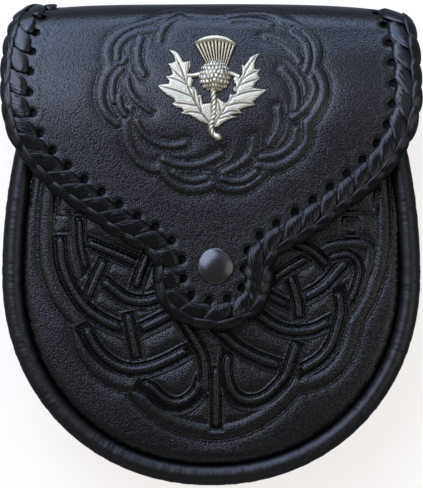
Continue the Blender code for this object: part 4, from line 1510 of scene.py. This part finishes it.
def lace_model(name, columns, rows):
    """A flat strip of lace, drawn in a unit length and half width, with softened edges."""
    deselect()
    bpy.ops.mesh.primitive_grid_add(
        x_subdivisions=columns, y_subdivisions=rows, size=2.0, calc_uvs=True
    )
    obj = started(name)
    modify(obj, "SOLIDIFY", thickness=2.0, offset=0.0)
    points = coords(obj)
    points[:, 0] = (points[:, 0] + 1.0) / 2.0
    points[:, 1] = np.sin(points[:, 1] * math.pi / 2.0)
    points[:, 2] *= np.sqrt(1.0 - 0.8 * np.abs(points[:, 1]) ** 10)
    set_coords(obj, points)
    return obj


def lay_lace(model, name, way, half_widths, crown, number, pleats=0.0, spread=1.0, tilt=0.0):
    """A copy of the strip, laid along a way of (x, along, height, outward x, y, z)."""
    made = copied(model, name)
    base = coords(made)
    stations = np.linspace(0.0, 1.0, 61)
    path = read_at(stations, shares_along(way[:, :3]), way)
    kernel = np.array([1.0, 2.0, 3.0, 2.0, 1.0]) / 9.0
    padded = np.pad(path, ((2, 2), (0, 0)), mode="edge")
    smooth = np.stack([np.convolve(padded[:, k], kernel, "valid") for k in range(6)], 1)
    smooth[[0, -1]] = path[[0, -1]]
    along = np.gradient(smooth[:, :3], axis=0)
    along /= np.linalg.norm(along, axis=1, keepdims=True)
    across = np.cross(along, smooth[:, 3:])
    across /= np.linalg.norm(across, axis=1, keepdims=True)
    up = np.cross(across, along)
    middle, across, up = (
        read_at(base[:, 0], stations, table) for table in (smooth[:, :3], across, up)
    )
    half = np.interp(base[:, 0], *np.transpose(half_widths)) * MM
    half = half * (1.0 + (spread - 1.0) * ease(base[:, 0], 0.08, 0.3))
    side = base[:, 1]
    rise = crown * (1.0 - side ** 2)
    if pleats:
        near_hole = np.exp(-np.minimum(base[:, 0], 1.0 - base[:, 0]) / 0.12)
        rise = rise + pleats * near_hole * np.cos(side * 9.0 + number * 1.3)
    tilted = ease(base[:, 0], 0.08, 0.26) * (1.0 - ease(base[:, 0], 0.5, 0.62))
    level = base[:, 2] * LACE_THICK / 2.0 + rise + tilt * side * tilted
    flat = middle + across * (side * half)[:, None] + up * level[:, None]
    set_coords(made, fold(*flat.T))
    uv = made.data.uv_layers["UVMap"].data
    laid = np.empty(len(uv) * 2, np.float32)
    uv.foreach_get("uv", laid)
    laid = laid.reshape(-1, 2)
    laid[:, 0] = laid[:, 0] * lengths_along(way[:, :3])[-1] / LACE_PATTERN + number * 7.31
    laid[:, 1] += number * 3.17
    uv.foreach_set("uv", laid.ravel())
    mark(made, "cut_edge", np.clip((np.abs(side) - 0.86) / 0.14, 0.0, 1.0))
    mark(made, "hidden", hidden(base[:, 0]) if pleats else np.zeros(len(base)))
    return made


def hidden(share):
    """How far a strap's surface lies down in a hole, where hardly any light comes."""
    return np.maximum(1.0 - ease(share, 0.03, 0.09), ease(share, 0.6, 0.75))


def slant_at(distance):
    return np.interp(distance / MM, *np.transpose(SLANT_STATIONS))


def edge_way(distance, rows):
    """A way from rows of (along the edge, outward, height, outward part of its facing)."""
    rows = np.asarray(rows, float)
    point, normal = on_edge(distance + rows[:, 0] * MM, rows[:, 1] * MM)
    facing_up = np.sqrt(np.maximum(1.0 - rows[:, 3] ** 2, 0.0))
    return np.concatenate([
        point, rows[:, 2:3] * MM, normal * rows[:, 3:4], facing_up[:, None],
    ], 1)


def strap_way(distance, vary, pitch):
    """A strap's way from its hole over the edge, and back under the leather past the next."""
    line = smooth_line(STRAP_WAY, 0.5)
    along = np.gradient(line, axis=0)
    along /= np.linalg.norm(along, axis=1, keepdims=True)
    facing = np.stack([-along[:, 1], along[:, 0]], 1)
    outward = line[:, 0] * MM
    slant = slant_at(distance) * (1.0 + 0.06 * vary)
    over = np.arange(len(line)) < np.argmax(line[:, 0])
    top = outward.max()
    lead = slant * (outward + LACE_HOLE_INSET)
    back = np.clip((top - outward) / (top + LACE_HOLE_INSET), 0.0, 1.2)
    start = slant * (top + LACE_HOLE_INSET)
    lead = np.where(over, lead, start + (pitch - start) * back)
    point, normal = on_edge(distance + lead, outward)
    return np.concatenate([
        point, line[:, 1:2] * MM, normal * facing[:, :1], facing[:, 1:2],
    ], 1)


def make_lacing():
    """Wide straps from each hole over the edge, and two rows of braid that lock them."""
    strap = lace_model("strap", 34, 8)
    leaf = lace_model("leaf", 12, 6)
    pieces = []
    distances = [distance for distance, _ in LACE_HOLES]
    for number, distance in enumerate(distances):
        vary = math.sin(number * 2.399)
        after = distances[min(number + 1, len(distances) - 1)]
        # the last strap goes straight back under its own hole
        under = after - distance
        pitch = under or LACE_PATTERN
        stretch = min(max(pitch / USUAL_PITCH, 0.85), 1.5)
        pieces.append(lay_lace(
            strap, "lacing", strap_way(distance, vary, under), STRAP_HALF, 0.5 * MM, number,
            0.09 * MM, min(max(stretch, 1.0), 1.4), STRAP_TILT,
        ))
        middle = distance + slant_at(distance) * LACE_HOLE_INSET + 0.35 * pitch
        for way, widths, crown in ((LEAF_WAY, LEAF_HALF, 0.5), (SIDE_WAY, SIDE_HALF, 0.35)):
            rows = np.array(way)
            rows[:, 0] *= stretch
            rows[:, 1] += 0.25 * math.sin(number * 1.9 + len(way))
            pieces.append(lay_lace(
                leaf, "lacing", edge_way(middle, rows), widths, crown * MM, number * 2
            ))
    for model in (strap, leaf):
        bpy.data.objects.remove(model)
    obj = joined("lacing", pieces)
    return finished(obj, LACE, "edge_lacing", smooth=60.0)


# ---------------------------------------------------------------- the thistle badge

LEAF_LEFT_PX = (
    (213.5, 128.5), (208.6, 125), (200.8, 122.3), (190, 115.4), (180.8, 114.2), (184, 111.6),
    (181.7, 108.8), (176.8, 107.8), (172, 104.2), (175.4, 102.6), (174.2, 99.2), (168, 96.2),
    (161.5, 90.5), (158.4, 86.2), (163.6, 84.8), (168.8, 84.4), (169.4, 81), (165.2, 76.8),
    (170, 76.4), (173, 74.4), (171.4, 69.4), (167.9, 64), (172, 63.4), (175.6, 61.8),
    (174.4, 56.6), (169, 49.8), (174.8, 51.2), (179, 54), (181.6, 58.2), (183.6, 62.2),
    (187, 62), (190.5, 61.1), (190.8, 66), (189, 71), (187.6, 74.6), (191, 77.4),
    (193.2, 80.4), (192.2, 85), (190.6, 89), (193.4, 90), (195.9, 89.8), (197.6, 93.4),
    (198.6, 96.4), (200.9, 95.6), (202, 100.4), (203.2, 104.8), (207, 104.2), (211.6, 103.8),
    (212.4, 112), (213.4, 122),
)
LEAF_RIGHT_PX = (
    (213, 128), (212.4, 121), (213.8, 113), (216.6, 105.6), (217, 98.2), (221, 101),
    (226, 104), (229, 100.6), (229.8, 94.4), (233, 95.4), (235.6, 95), (236.6, 90),
    (235.6, 85), (233.2, 80.2), (234.8, 76.6), (239.4, 78.4), (242.4, 74.6), (242, 69.4),
    (241.2, 64.6), (244.6, 66.4), (247.4, 62.6), (251, 57.2), (255.2, 55), (259.6, 53.8),
    (256.2, 58.4), (254.8, 64), (254.6, 69.4), (257.4, 70), (260, 69.8), (257.6, 74.2),
    (259.9, 79.2), (255.6, 82.6), (253, 88.4), (259, 89.6), (266.7, 90.2), (262, 94.6),
    (257, 98.6), (252.8, 102.4), (255.2, 105.6), (248, 107.2), (241.6, 109.2), (239, 111),
    (242.4, 113.6), (236, 114.2), (230, 116), (236.2, 117.4), (229.6, 119.6), (223, 123),
    (218, 127.6),
)
# Midribs and veins of the leaves, from root to tip
VEINS_LEFT_PX = (
    ((213, 127), (203, 115), (194, 100), (187, 84), (180, 66), (171, 51)),
    ((187, 84), (188.6, 72), (189.6, 62.5)),
    ((186, 82), (177, 74), (169, 66)),
    ((188, 86), (178, 81), (167, 77.5)),
    ((193, 98), (178, 92), (161, 87)),
    ((198, 107), (186, 105), (174, 103.6)),
    ((203, 115), (193, 113), (183, 113.8)),
    ((196, 103), (194.6, 96), (194.6, 91)),
    ((202, 113), (200, 105), (199.6, 98)),
)
VEINS_RIGHT_PX = (
    ((214, 127), (221, 115), (231, 100), (240, 85), (248, 68), (257, 55.5)),
    ((242, 82), (240, 74), (241, 67)),
    ((243, 80), (250, 75), (258.6, 71)),
    ((240, 86), (249, 82.6), (258.6, 79.4)),
    ((233, 98), (248, 93), (264.6, 90.6)),
    ((227, 107), (240, 104), (253.6, 105)),
    ((221, 116), (231, 112), (240.6, 113.2)),
    ((219, 120), (227, 117.6), (234.6, 117.4)),
    ((236, 93), (234.2, 87), (235.2, 82)),
    ((231, 101), (230.8, 98), (230.4, 95.6)),
    ((221, 112), (219, 105), (217.6, 99.6)),
)
STEM_PX = ((212.6, 86), (213.4, 93), (214, 105), (213.6, 116), (211, 127), (213, 134),
           (218.4, 137.6), (222.4, 139.2))
BULB_PX = (214.6, 76.2)
BULB_RADIUS = 6.5 * MM
BULB_HEIGHT = 5.0 * MM
CROWN_TOP_PX = ((193.6, 42.2), (203, 37.6), (215, 35.6), (226.6, 37.4), (236.4, 43.2))
CROWN_FOOT_PX = ((205.4, 62.6), (210.4, 61), (216, 60.6), (221.8, 62.6), (227.2, 66.2))
CROWN_FLUTES = 11


def badge_leaf(name, outline_px, veins_px):
    """One cast leaf: its exact outline, domed between creased veins, with bevelled edges."""
    outline = np.array([flap_place(point, 1.4 * MM) for point in outline_px])
    closed = np.concatenate([outline, outline[:1]])
    ring = np.concatenate([
        start + (end - start) * np.linspace(0.0, 1.0, 6)[:-1, None]
        for start, end in zip(closed, closed[1:])
    ])
    if inside_area(ring) < 0.0:
        ring = ring[::-1]
    veins = [smooth_line([flap_place(point, 1.4 * MM) for point in vein], 0.6 * MM)
             for vein in veins_px]

    def outer(x, along):
        edge = distance_to_ring(x, along, ring)
        near = np.full(x.shape, 1e9)
        root = np.zeros(x.shape)
        for number, vein in enumerate(veins):
            side, before, after = beside(x, along, vein)
            away = np.hypot(side, np.maximum(before, after))
            near = np.minimum(near, away)
            if number == 0:
                run = np.hypot(x - vein[0][0], along - vein[0][1])
                root = 1.0 - ease(run, 0.0, 30.0 * MM)
        dome = np.sqrt(np.clip(edge / (0.9 * MM), 0.0, 1.0))
        crease = np.exp(-(near / (0.22 * MM)) ** 2) * ease(edge, 0.1 * MM, 0.7 * MM)
        height = 0.95 * MM + 0.4 * MM * dome + 0.5 * MM * root
        ripple = np.cos(near * TAU / (0.8 * MM)) * ease(near, 0.3 * MM, 0.8 * MM)
        height = height + 0.14 * MM * ease(near, 0.0, 1.6 * MM) - 0.24 * MM * crease
        height = height + 0.045 * MM * ripple
        marks.append(0.47 + 0.28 * crease - 0.1 * ripple)
        return fold(x, along, GAP + height)

    def inner(x, along):
        marks.append(np.full(x.shape, 0.8))
        return fold(x, along, np.full(x.shape, GAP))

    marks = []
    obj = cut_leather(name, ring, [], filled(ring, [], (0.23 * MM,)),
                      filled(ring, [], (1.0 * MM,)), outer, inner)
    mark(obj, "recess", np.concatenate(marks))
    return obj


def inside_area(ring):
    x, y = ring[:, 0], ring[:, 1]
    return 0.5 * np.sum(x * np.roll(y, -1) - np.roll(x, -1) * y)


def badge_bulb():
    """The bulb: a dome of overlapping scales, in rows that climb from the stalk to the crown."""
    centre = flap_place(BULB_PX, 2.0 * MM)
    rows, columns = 10.0, 22.0

    def place(u, v):
        rise = (1.0 - v) * math.radians(94.0) - math.radians(4.0)
        x, y = np.cos(rise) * np.cos(u * TAU), np.cos(rise) * np.sin(u * TAU)
        around = np.arctan2(x, np.maximum(np.sin(rise), 1e-4)) / TAU
        level = rows * (np.arcsin(y) / math.pi + 0.5)
        level = level + 0.3 * wander(x, y, 0.5, 1.0)
        around = around + 0.012 * wander(x, y, 0.4, 4.0)
        step = np.floor(level)
        part = level - step
        across = (around * columns + 0.5 * (step % 2)) % 1.0 - 0.5
        narrow = 2.0 + 1.6 * part ** 2
        scale = np.sqrt(np.clip(1.0 - (narrow * across) ** 2, 0.0, 1.0)) * np.sin(part * 2.8)
        scale = scale * (0.75 + 0.35 * wander(x, y, 0.35, 3.0))
        scale = scale * ease(rise, math.radians(-4.0), math.radians(12.0))
        grown = 1.0 + 0.11 * scale
        height = np.where(v > 0.999, 0.0, np.maximum(BULB_HEIGHT * np.sin(rise) * grown, 0.0))
        shade.append(0.7 - 0.7 * scale)
        return fold(centre[0] + BULB_RADIUS * x * grown, centre[1] + BULB_RADIUS * y * grown,
                    GAP + height)

    shade = []
    obj = laid_grid("bulb", 176, 64, place)
    mark(obj, "recess", np.clip(shade[0], 0.0, 1.0))
    return cap_ends(obj)


def badge_crown():
    """The crown: eleven flutes that fan out to a rounded, convex lip."""
    top = smooth_line([flap_place(point, 3.0 * MM) for point in CROWN_TOP_PX], 0.3 * MM)
    foot = smooth_line([flap_place(point, 3.2 * MM) for point in CROWN_FOOT_PX], 0.3 * MM)

    def place(u, v):
        across = 2.0 * u - 1.0
        low, high = (read_at(u, shares_along(line), line) for line in (foot, top))
        flat = low + (high - low) * v[:, None]
        ridge = np.abs(np.sin(u * math.pi * CROWN_FLUTES)) ** 0.7
        body = (2.2 + 0.9 * v) * (1.0 - 0.3 * across ** 2)
        rim = 0.8 + 0.1 * across ** 2
        depth = 1.4 * (1.0 - ease(v, rim - 0.06, rim + 0.02)) * ease(v, -0.1, 0.1)
        lip = 1.0 * np.sqrt(np.clip(1.0 - ((v - rim - 0.09) / 0.115) ** 2, 0.0, 1.0))
        end = ease(v, 1.02, 0.94)
        height = (body - depth * (1.0 - ridge) + lip) * (0.3 + 0.7 * end)
        shade.append(np.clip(1.15 - 1.3 * ridge, 0.0, 1.0) * (1.0 - ease(v, rim - 0.06, rim)))
        return fold(flat[:, 0], flat[:, 1], GAP + height * MM)

    shade = []
    obj = laid_grid("crown", 154, 34, place)
    mark(obj, "recess", shade[0])
    return walled(obj)


def walled(obj):
    """Close a laid face with walls down to the flap and a floor."""
    open_edges(obj, 1e-7)
    bpy.ops.mesh.extrude_region_move(TRANSFORM_OT_translate={"value": (0.0, 0.0, -2.2 * MM)})
    bpy.ops.mesh.edge_face_add()
    bpy.ops.mesh.select_all(action="SELECT")
    return face_out(obj)


def badge_rod(name, line_px, step, parts, grid, shape):
    """A cast rod on the flap; shape gives its radius at shares along and angles round it,
    and the height of its middle."""
    line = even_line(smooth_line([flap_place(point, 1.5 * MM) for point in line_px], step),
                     parts + 1)
    left = normals_along(line)

    def place(u, v):
        at, out = (read_at(u * parts, np.arange(parts + 1), table) for table in (line, left))
        angle = v * TAU
        radius, middle = shape(u, angle)
        flat = at + out * (radius * np.cos(angle))[:, None]
        height = np.maximum(middle + radius * np.sin(angle), 0.05 * MM)
        return fold(*flat.T, GAP + height)

    return laid_grid(name, *grid, place)


def badge_stem():
    """The stalk: a rope of three twisted strands down to a turned foot."""
    def rope(u, angle):
        strand = np.abs(np.cos(1.5 * (angle - u * 26.0)))
        foot = ease(u, 0.84, 0.9)
        strand = strand * (1.0 - foot) + foot
        shade.append(1.0 - strand)
        thick = 1.3 + 0.2 * foot
        radius = thick * (0.76 + 0.3 * strand ** 0.7) * np.sqrt(ease(u, 1.003, 0.93)) * MM
        return radius, 1.35 * MM

    shade = []
    obj = badge_rod("stalk", STEM_PX, 0.4 * MM, 120, (150, 24), rope)
    mark(obj, "recess", np.clip(0.9 * shade[0], 0.0, 1.0))
    return cap_ends(obj)


TIES_PX = (((187, 76.2), (193, 75.8), (200, 74.6)), ((228, 73.4), (233, 74.6), (239, 77.4)))


def badge_tie(line_px):
    """A short cast bar between a leaf and the bulb, thinner in its middle."""
    def bar(u, _):
        return 0.95 * MM * (1.0 + 0.25 * (2.0 * u - 1.0) ** 2), 0.8 * MM

    obj = badge_rod("tie", line_px, MM, 12, (12, 16), bar)
    mark(obj, "recess", np.full(len(obj.data.vertices), 0.25))
    return cap_ends(obj)


def make_badge():
    pieces = [
        badge_leaf("left leaf", LEAF_LEFT_PX, VEINS_LEFT_PX),
        badge_leaf("right leaf", LEAF_RIGHT_PX, VEINS_RIGHT_PX),
        badge_bulb(), badge_crown(), badge_stem(), *(badge_tie(line) for line in TIES_PX),
    ]
    for sign in (-1.0, 1.0):
        x = BADGE_X + sign * POST_SPREAD
        post = turned_part("post", x, BADGE_ALONG, (
            (BADGE_POST_RADIUS, -FLAP_THICK), (BADGE_POST_RADIUS, GAP + 0.8 * MM)), 16)
        flat = coords(post)
        set_coords(post, fold(*flat.T))
        mark(post, "recess", np.full(len(flat), 0.6))
        pieces.append(post)
    obj = joined("thistle", pieces)
    return finished(obj, BADGE_METAL, "thistle_badge", smooth=45.0)


# ---------------------------------------------------------------- press stud and loops

def make_stud():
    """The cap: a turned dome with a rolled edge, on its post through the tongue."""
    base = FLAP_Z + GAP
    roll = 0.55 * MM
    profile = [(POST_RADIUS, FLAP_Z - FLAP_THICK), (POST_RADIUS, base),
               (CAP_RADIUS - 0.7 * MM, base)]
    for step in range(6):
        angle = math.radians(-60.0 + 110.0 * step / 5)
        profile.append((CAP_RADIUS - roll + roll * math.cos(angle),
                        base + roll + roll * math.sin(angle)))
    low = profile[-1]
    for step in range(1, 13):
        share = step / 12.0
        radius = low[0] * (1.0 - share) + 0.02 * MM * share
        height = low[1] + 0.5 * (CAP_HEIGHT - (low[1] - base)) * (1.0 - (radius / low[0]) ** 2.2)
        profile.append((radius, height))
    obj = turned_part("stud_cap", STUD_X, STUD_Y, profile, 72)
    return finished(obj, STUD_METAL, "snap_cap", smooth=35.0)


def make_clasp():
    """The hidden half: a stepped ring between the tongue and the front."""
    low = float(front_outer_z(np.array(STUD_X), np.array(STUD_Y))) + GAP
    high = FLAP_Z - FLAP_THICK - GAP
    middle = (low + high) / 2.0
    step, neck = middle + 0.2 * MM, CLASP_RADIUS - 1.2 * MM
    obj = turned_part("stud_clasp", STUD_X, STUD_Y, (
        (CLASP_RADIUS, low), (CLASP_RADIUS, middle), (CLASP_RADIUS - 0.3 * MM, step),
        (neck, step), (neck, high),
    ), 48)
    return finished(obj, STUD_METAL, "snap_clasp", smooth=35.0)


def loop_line():
    """The loop's middle line in (y, z): flat tabs, slopes and the strap's bridge."""
    high = BACK_RISE - GAP - LOOP_THICK / 2.0
    low = LOOP_THICK / 2.0
    y = np.linspace(LOOP_BOTTOM_Y, LOOP_TOP_Y, 49)
    up = 1.0 - ease(y, LOOP_BOTTOM_Y + LOOP_TAB, LOOP_BOTTOM_Y + LOOP_TAB + LOOP_SLOPE)
    down = ease(y, LOOP_TOP_Y - LOOP_TAB - LOOP_SLOPE, LOOP_TOP_Y - LOOP_TAB)
    return np.stack([y, low + (high - low) * np.maximum(up, down)], 1)


def make_strap_loop(side, sign):
    """A strip drawn out step by step along its line, thickened and with eased edges."""
    line = loop_line()
    deselect()
    bpy.ops.mesh.primitive_plane_add(size=1.0)
    obj = started("loop_" + side)
    start, after = line[0], line[1]
    points = coords(obj)
    points[:, 0] = sign * LOOP_X + points[:, 0] * LOOP_WIDTH
    far = points[:, 1] > 0.0
    points[:, 1] = np.where(far, after[0], start[0])
    points[:, 2] = np.where(far, after[1], start[1])
    set_coords(obj, points)
    bpy.ops.object.mode_set(mode="EDIT")
    bpy.ops.mesh.select_all(action="DESELECT")
    built = bmesh.from_edit_mesh(obj.data)
    for edge in built.edges:
        if all(vert.co.y > start[0] + 1e-7 for vert in edge.verts):
            edge.select_set(True)
    bmesh.update_edit_mesh(obj.data)
    for before, point in zip(line[1:], line[2:]):
        step = point - before
        bpy.ops.mesh.extrude_region_move(
            TRANSFORM_OT_translate={"value": (0.0, float(step[0]), float(step[1]))}
        )
    cut_at(0, [sign * LOOP_X + cut * LOOP_WIDTH for cut in (-0.25, 0.0, 0.25)])
    bpy.ops.mesh.select_all(action="SELECT")
    face_out(obj)
    modify(obj, "SOLIDIFY", thickness=LOOP_THICK, offset=0.0)
    ease_edges(obj, 0.5 * MM, 60.0)
    return finished(obj, BACK_LEATHER, "strap_loop_" + side)


def loop_seams(sign):
    """A box of stitches on each tab of a loop, on the side away from the back."""
    high = BACK_RISE - GAP - LOOP_THICK
    margin = 2.6 * MM
    seams = []
    for low_y, top_y in ((LOOP_BOTTOM_Y, LOOP_BOTTOM_Y + LOOP_TAB),
                         (LOOP_TOP_Y - LOOP_TAB, LOOP_TOP_Y)):
        left = sign * LOOP_X - LOOP_WIDTH / 2.0 + margin
        right = sign * LOOP_X + LOOP_WIDTH / 2.0 - margin
        low_y, top_y = low_y + margin, top_y - margin + 0.4 * MM
        corners = [(left, low_y), (right, low_y), (right, top_y), (left, top_y), (left, low_y)]
        for start, end in zip(corners, corners[1:]):
            seams.append(seam_below(np.array([(*start, high), (*end, high)]), 2.8 * MM))
    return seams


def back_seam():
    """The seam that sews the gusset to the back, seen from behind."""
    inner = RIM_LINE - RIM_OUTWARD * 4.6 * MM
    line = np.concatenate([inner, back_outer_z(inner[:, 1])[:, None]], 1)
    return [seam_below(line[line[:, 1] < 80.0 * MM])]


def tail_seams():
    """Two rows that sew the flap's tail to the back."""
    ends = np.array([-54.0, 54.0]) * MM
    return [seam_below(fold(ends, TURN_END + along, 0.0)) for along in (6.0 * MM, 15.5 * MM)]


def rim_seam():
    """Small stitches under the rim, that hold it to the gusset."""
    inner = RIM_LINE - RIM_OUTWARD * 1.15 * MM
    z = roll_centre_z(inner[:, 1]) - ROLL_RADIUS * 0.72
    line = seam_points(np.concatenate([inner, z[:, None]], 1), 3.4 * MM)
    outward = read_at(*(np.linspace(0.0, 1.0, len(points)) for points in (line, RIM_OUTWARD)),
                      RIM_OUTWARD)
    return [(line, np.concatenate([outward, np.full((len(line), 1), -0.8)], 1))]


# ---------------------------------------------------------------- the stage

FLOOR_Z = -0.3 * MM               # clear of the stitches on the back


def make_floor():
    deselect()
    bpy.ops.mesh.primitive_plane_add(size=8.0, location=(0.0, 0.0, FLOOR_Z))
    obj = started("floor")
    place_in_mesh(obj)
    material, shader, wires = new_material("pale floor", roughness=0.9, specular=0.1)
    shader.inputs["Base Color"].default_value = (0.25, 0.25, 0.25, 1.0)
    seen = wires.node("ShaderNodeLightPath").outputs["Is Camera Ray"]
    shown = wires.blend(seen, (0.0, 0.0, 0.0), (0.80, 0.775, 0.75))
    wires.feed(shader.inputs["Emission Color"], shown)
    shader.inputs["Emission Strength"].default_value = 1.0
    obj.data.materials.append(material)
    return obj


FLAP_AIM = (0.0, 0.03, 0.04)
BODY_AIM = (0.0, 0.0, 0.04)
WARM = (1.0, 0.98, 0.95)
SoftLight = namedtuple("SoftLight", "name place aim size power colour")
# Places, aims and sizes in metres; power in watts
LIGHTS = (
    SoftLight("key softbox", (-0.33, 0.335, 0.71), FLAP_AIM, (0.62, 0.62), 5.6, (0.64, 0.72, 1.0)),
    SoftLight("right softbox", (0.33, 0.365, 0.74), FLAP_AIM, (0.50, 0.54), 0.35,
              (0.66, 0.74, 1.0)),
    SoftLight("right fill", (0.60, -0.10, 0.62), BODY_AIM, (0.40, 0.70), 1.1, WARM),
    SoftLight("left fill", (-0.72, -0.10, 0.50), BODY_AIM, (0.40, 0.70), 0.5, WARM),
    SoftLight("front fill", (0.0, -0.85, 0.42), BODY_AIM, (1.0, 0.30), 0.35, WARM),
    SoftLight("back softbox", (-0.15, 0.72, 0.42), FLAP_AIM, (0.90, 0.50), 5.8,
              (0.50, 0.66, 1.0)),
    SoftLight("low back fill", (0.0, 0.95, 0.10), FLAP_AIM, (1.2, 0.30), 0.5, (0.80, 0.88, 1.0)),
)
WORLD_LIGHT = 0.23
WORLD_SEEN = 0.9                  # how bright the backdrop is to the camera itself


def make_lights():
    for light in LIGHTS:
        data = bpy.data.lights.new(light.name, "AREA")
        data.shape = "RECTANGLE"
        data.size, data.size_y = light.size
        data.energy = light.power
        data.color = light.colour
        obj = bpy.data.objects.new(light.name, data)
        obj.location = light.place
        back = Vector(light.place) - Vector(light.aim)
        obj.rotation_euler = back.to_track_quat("Z", "Y").to_euler()
        bpy.context.scene.collection.objects.link(obj)
    world = bpy.data.worlds.new("studio")
    bpy.context.scene.world = world
    world.use_nodes = True
    nodes, wires = world.node_tree.nodes, Wiring(world.node_tree)
    back = nodes["Background"]
    back.inputs["Color"].default_value = (1.0, 0.98, 0.96, 1.0)
    back.inputs["Strength"].default_value = WORLD_LIGHT
    bright = wires.node("ShaderNodeBackground", {
        "Color": (1.0, 1.0, 1.0, 1.0), "Strength": WORLD_SEEN,
    })
    seen = wires.node("ShaderNodeLightPath").outputs["Is Camera Ray"]
    mixed = wires.node("ShaderNodeMixShader", {
        0: seen, 1: back.outputs[0], 2: bright.outputs[0],
    })
    wires.feed(nodes["World Output"].inputs["Surface"], mixed.outputs[0])


CAMERA_HEIGHT = 2.2
FRAME_WIDTH = 179.7 * MM          # across the picture, at the height of the rim
FRAME_HEIGHT_Z = 36.0 * MM
SENSOR_WIDTH = 36.0
CAMERA_X = 0.1 * MM
CAMERA_Y = 0.5 * MM


def make_camera():
    data = bpy.data.cameras.new("camera")
    data.sensor_fit = "HORIZONTAL"
    data.sensor_width = SENSOR_WIDTH
    data.lens = SENSOR_WIDTH * (CAMERA_HEIGHT - FRAME_HEIGHT_Z) / FRAME_WIDTH
    data.clip_end = 20.0
    obj = bpy.data.objects.new("camera", data)
    obj.location = (CAMERA_X, CAMERA_Y, CAMERA_HEIGHT)
    bpy.context.scene.collection.objects.link(obj)
    bpy.context.scene.camera = obj
    view = bpy.context.scene.view_settings
    view.view_transform = "Standard"
    view.look = "None"
    view.exposure = 0.0
    view.gamma = 1.0


# ---------------------------------------------------------------- the pouch

SIDES = (("left", -1.0), ("right", 1.0))

make_camera()
make_lights()
make_floor()
make_back_panel()
make_gusset()
make_front_panel()
make_rim()
make_flap()
make_lacing()
make_badge()
make_stud()
make_clasp()
for side, sign in SIDES:
    make_strap_loop(side, sign)
sewn("back_stitches", back_seam() + tail_seams())
for side, sign in SIDES:
    sewn("loop_stitches_" + side, loop_seams(sign))
sewn("rim_stitches", rim_seam())
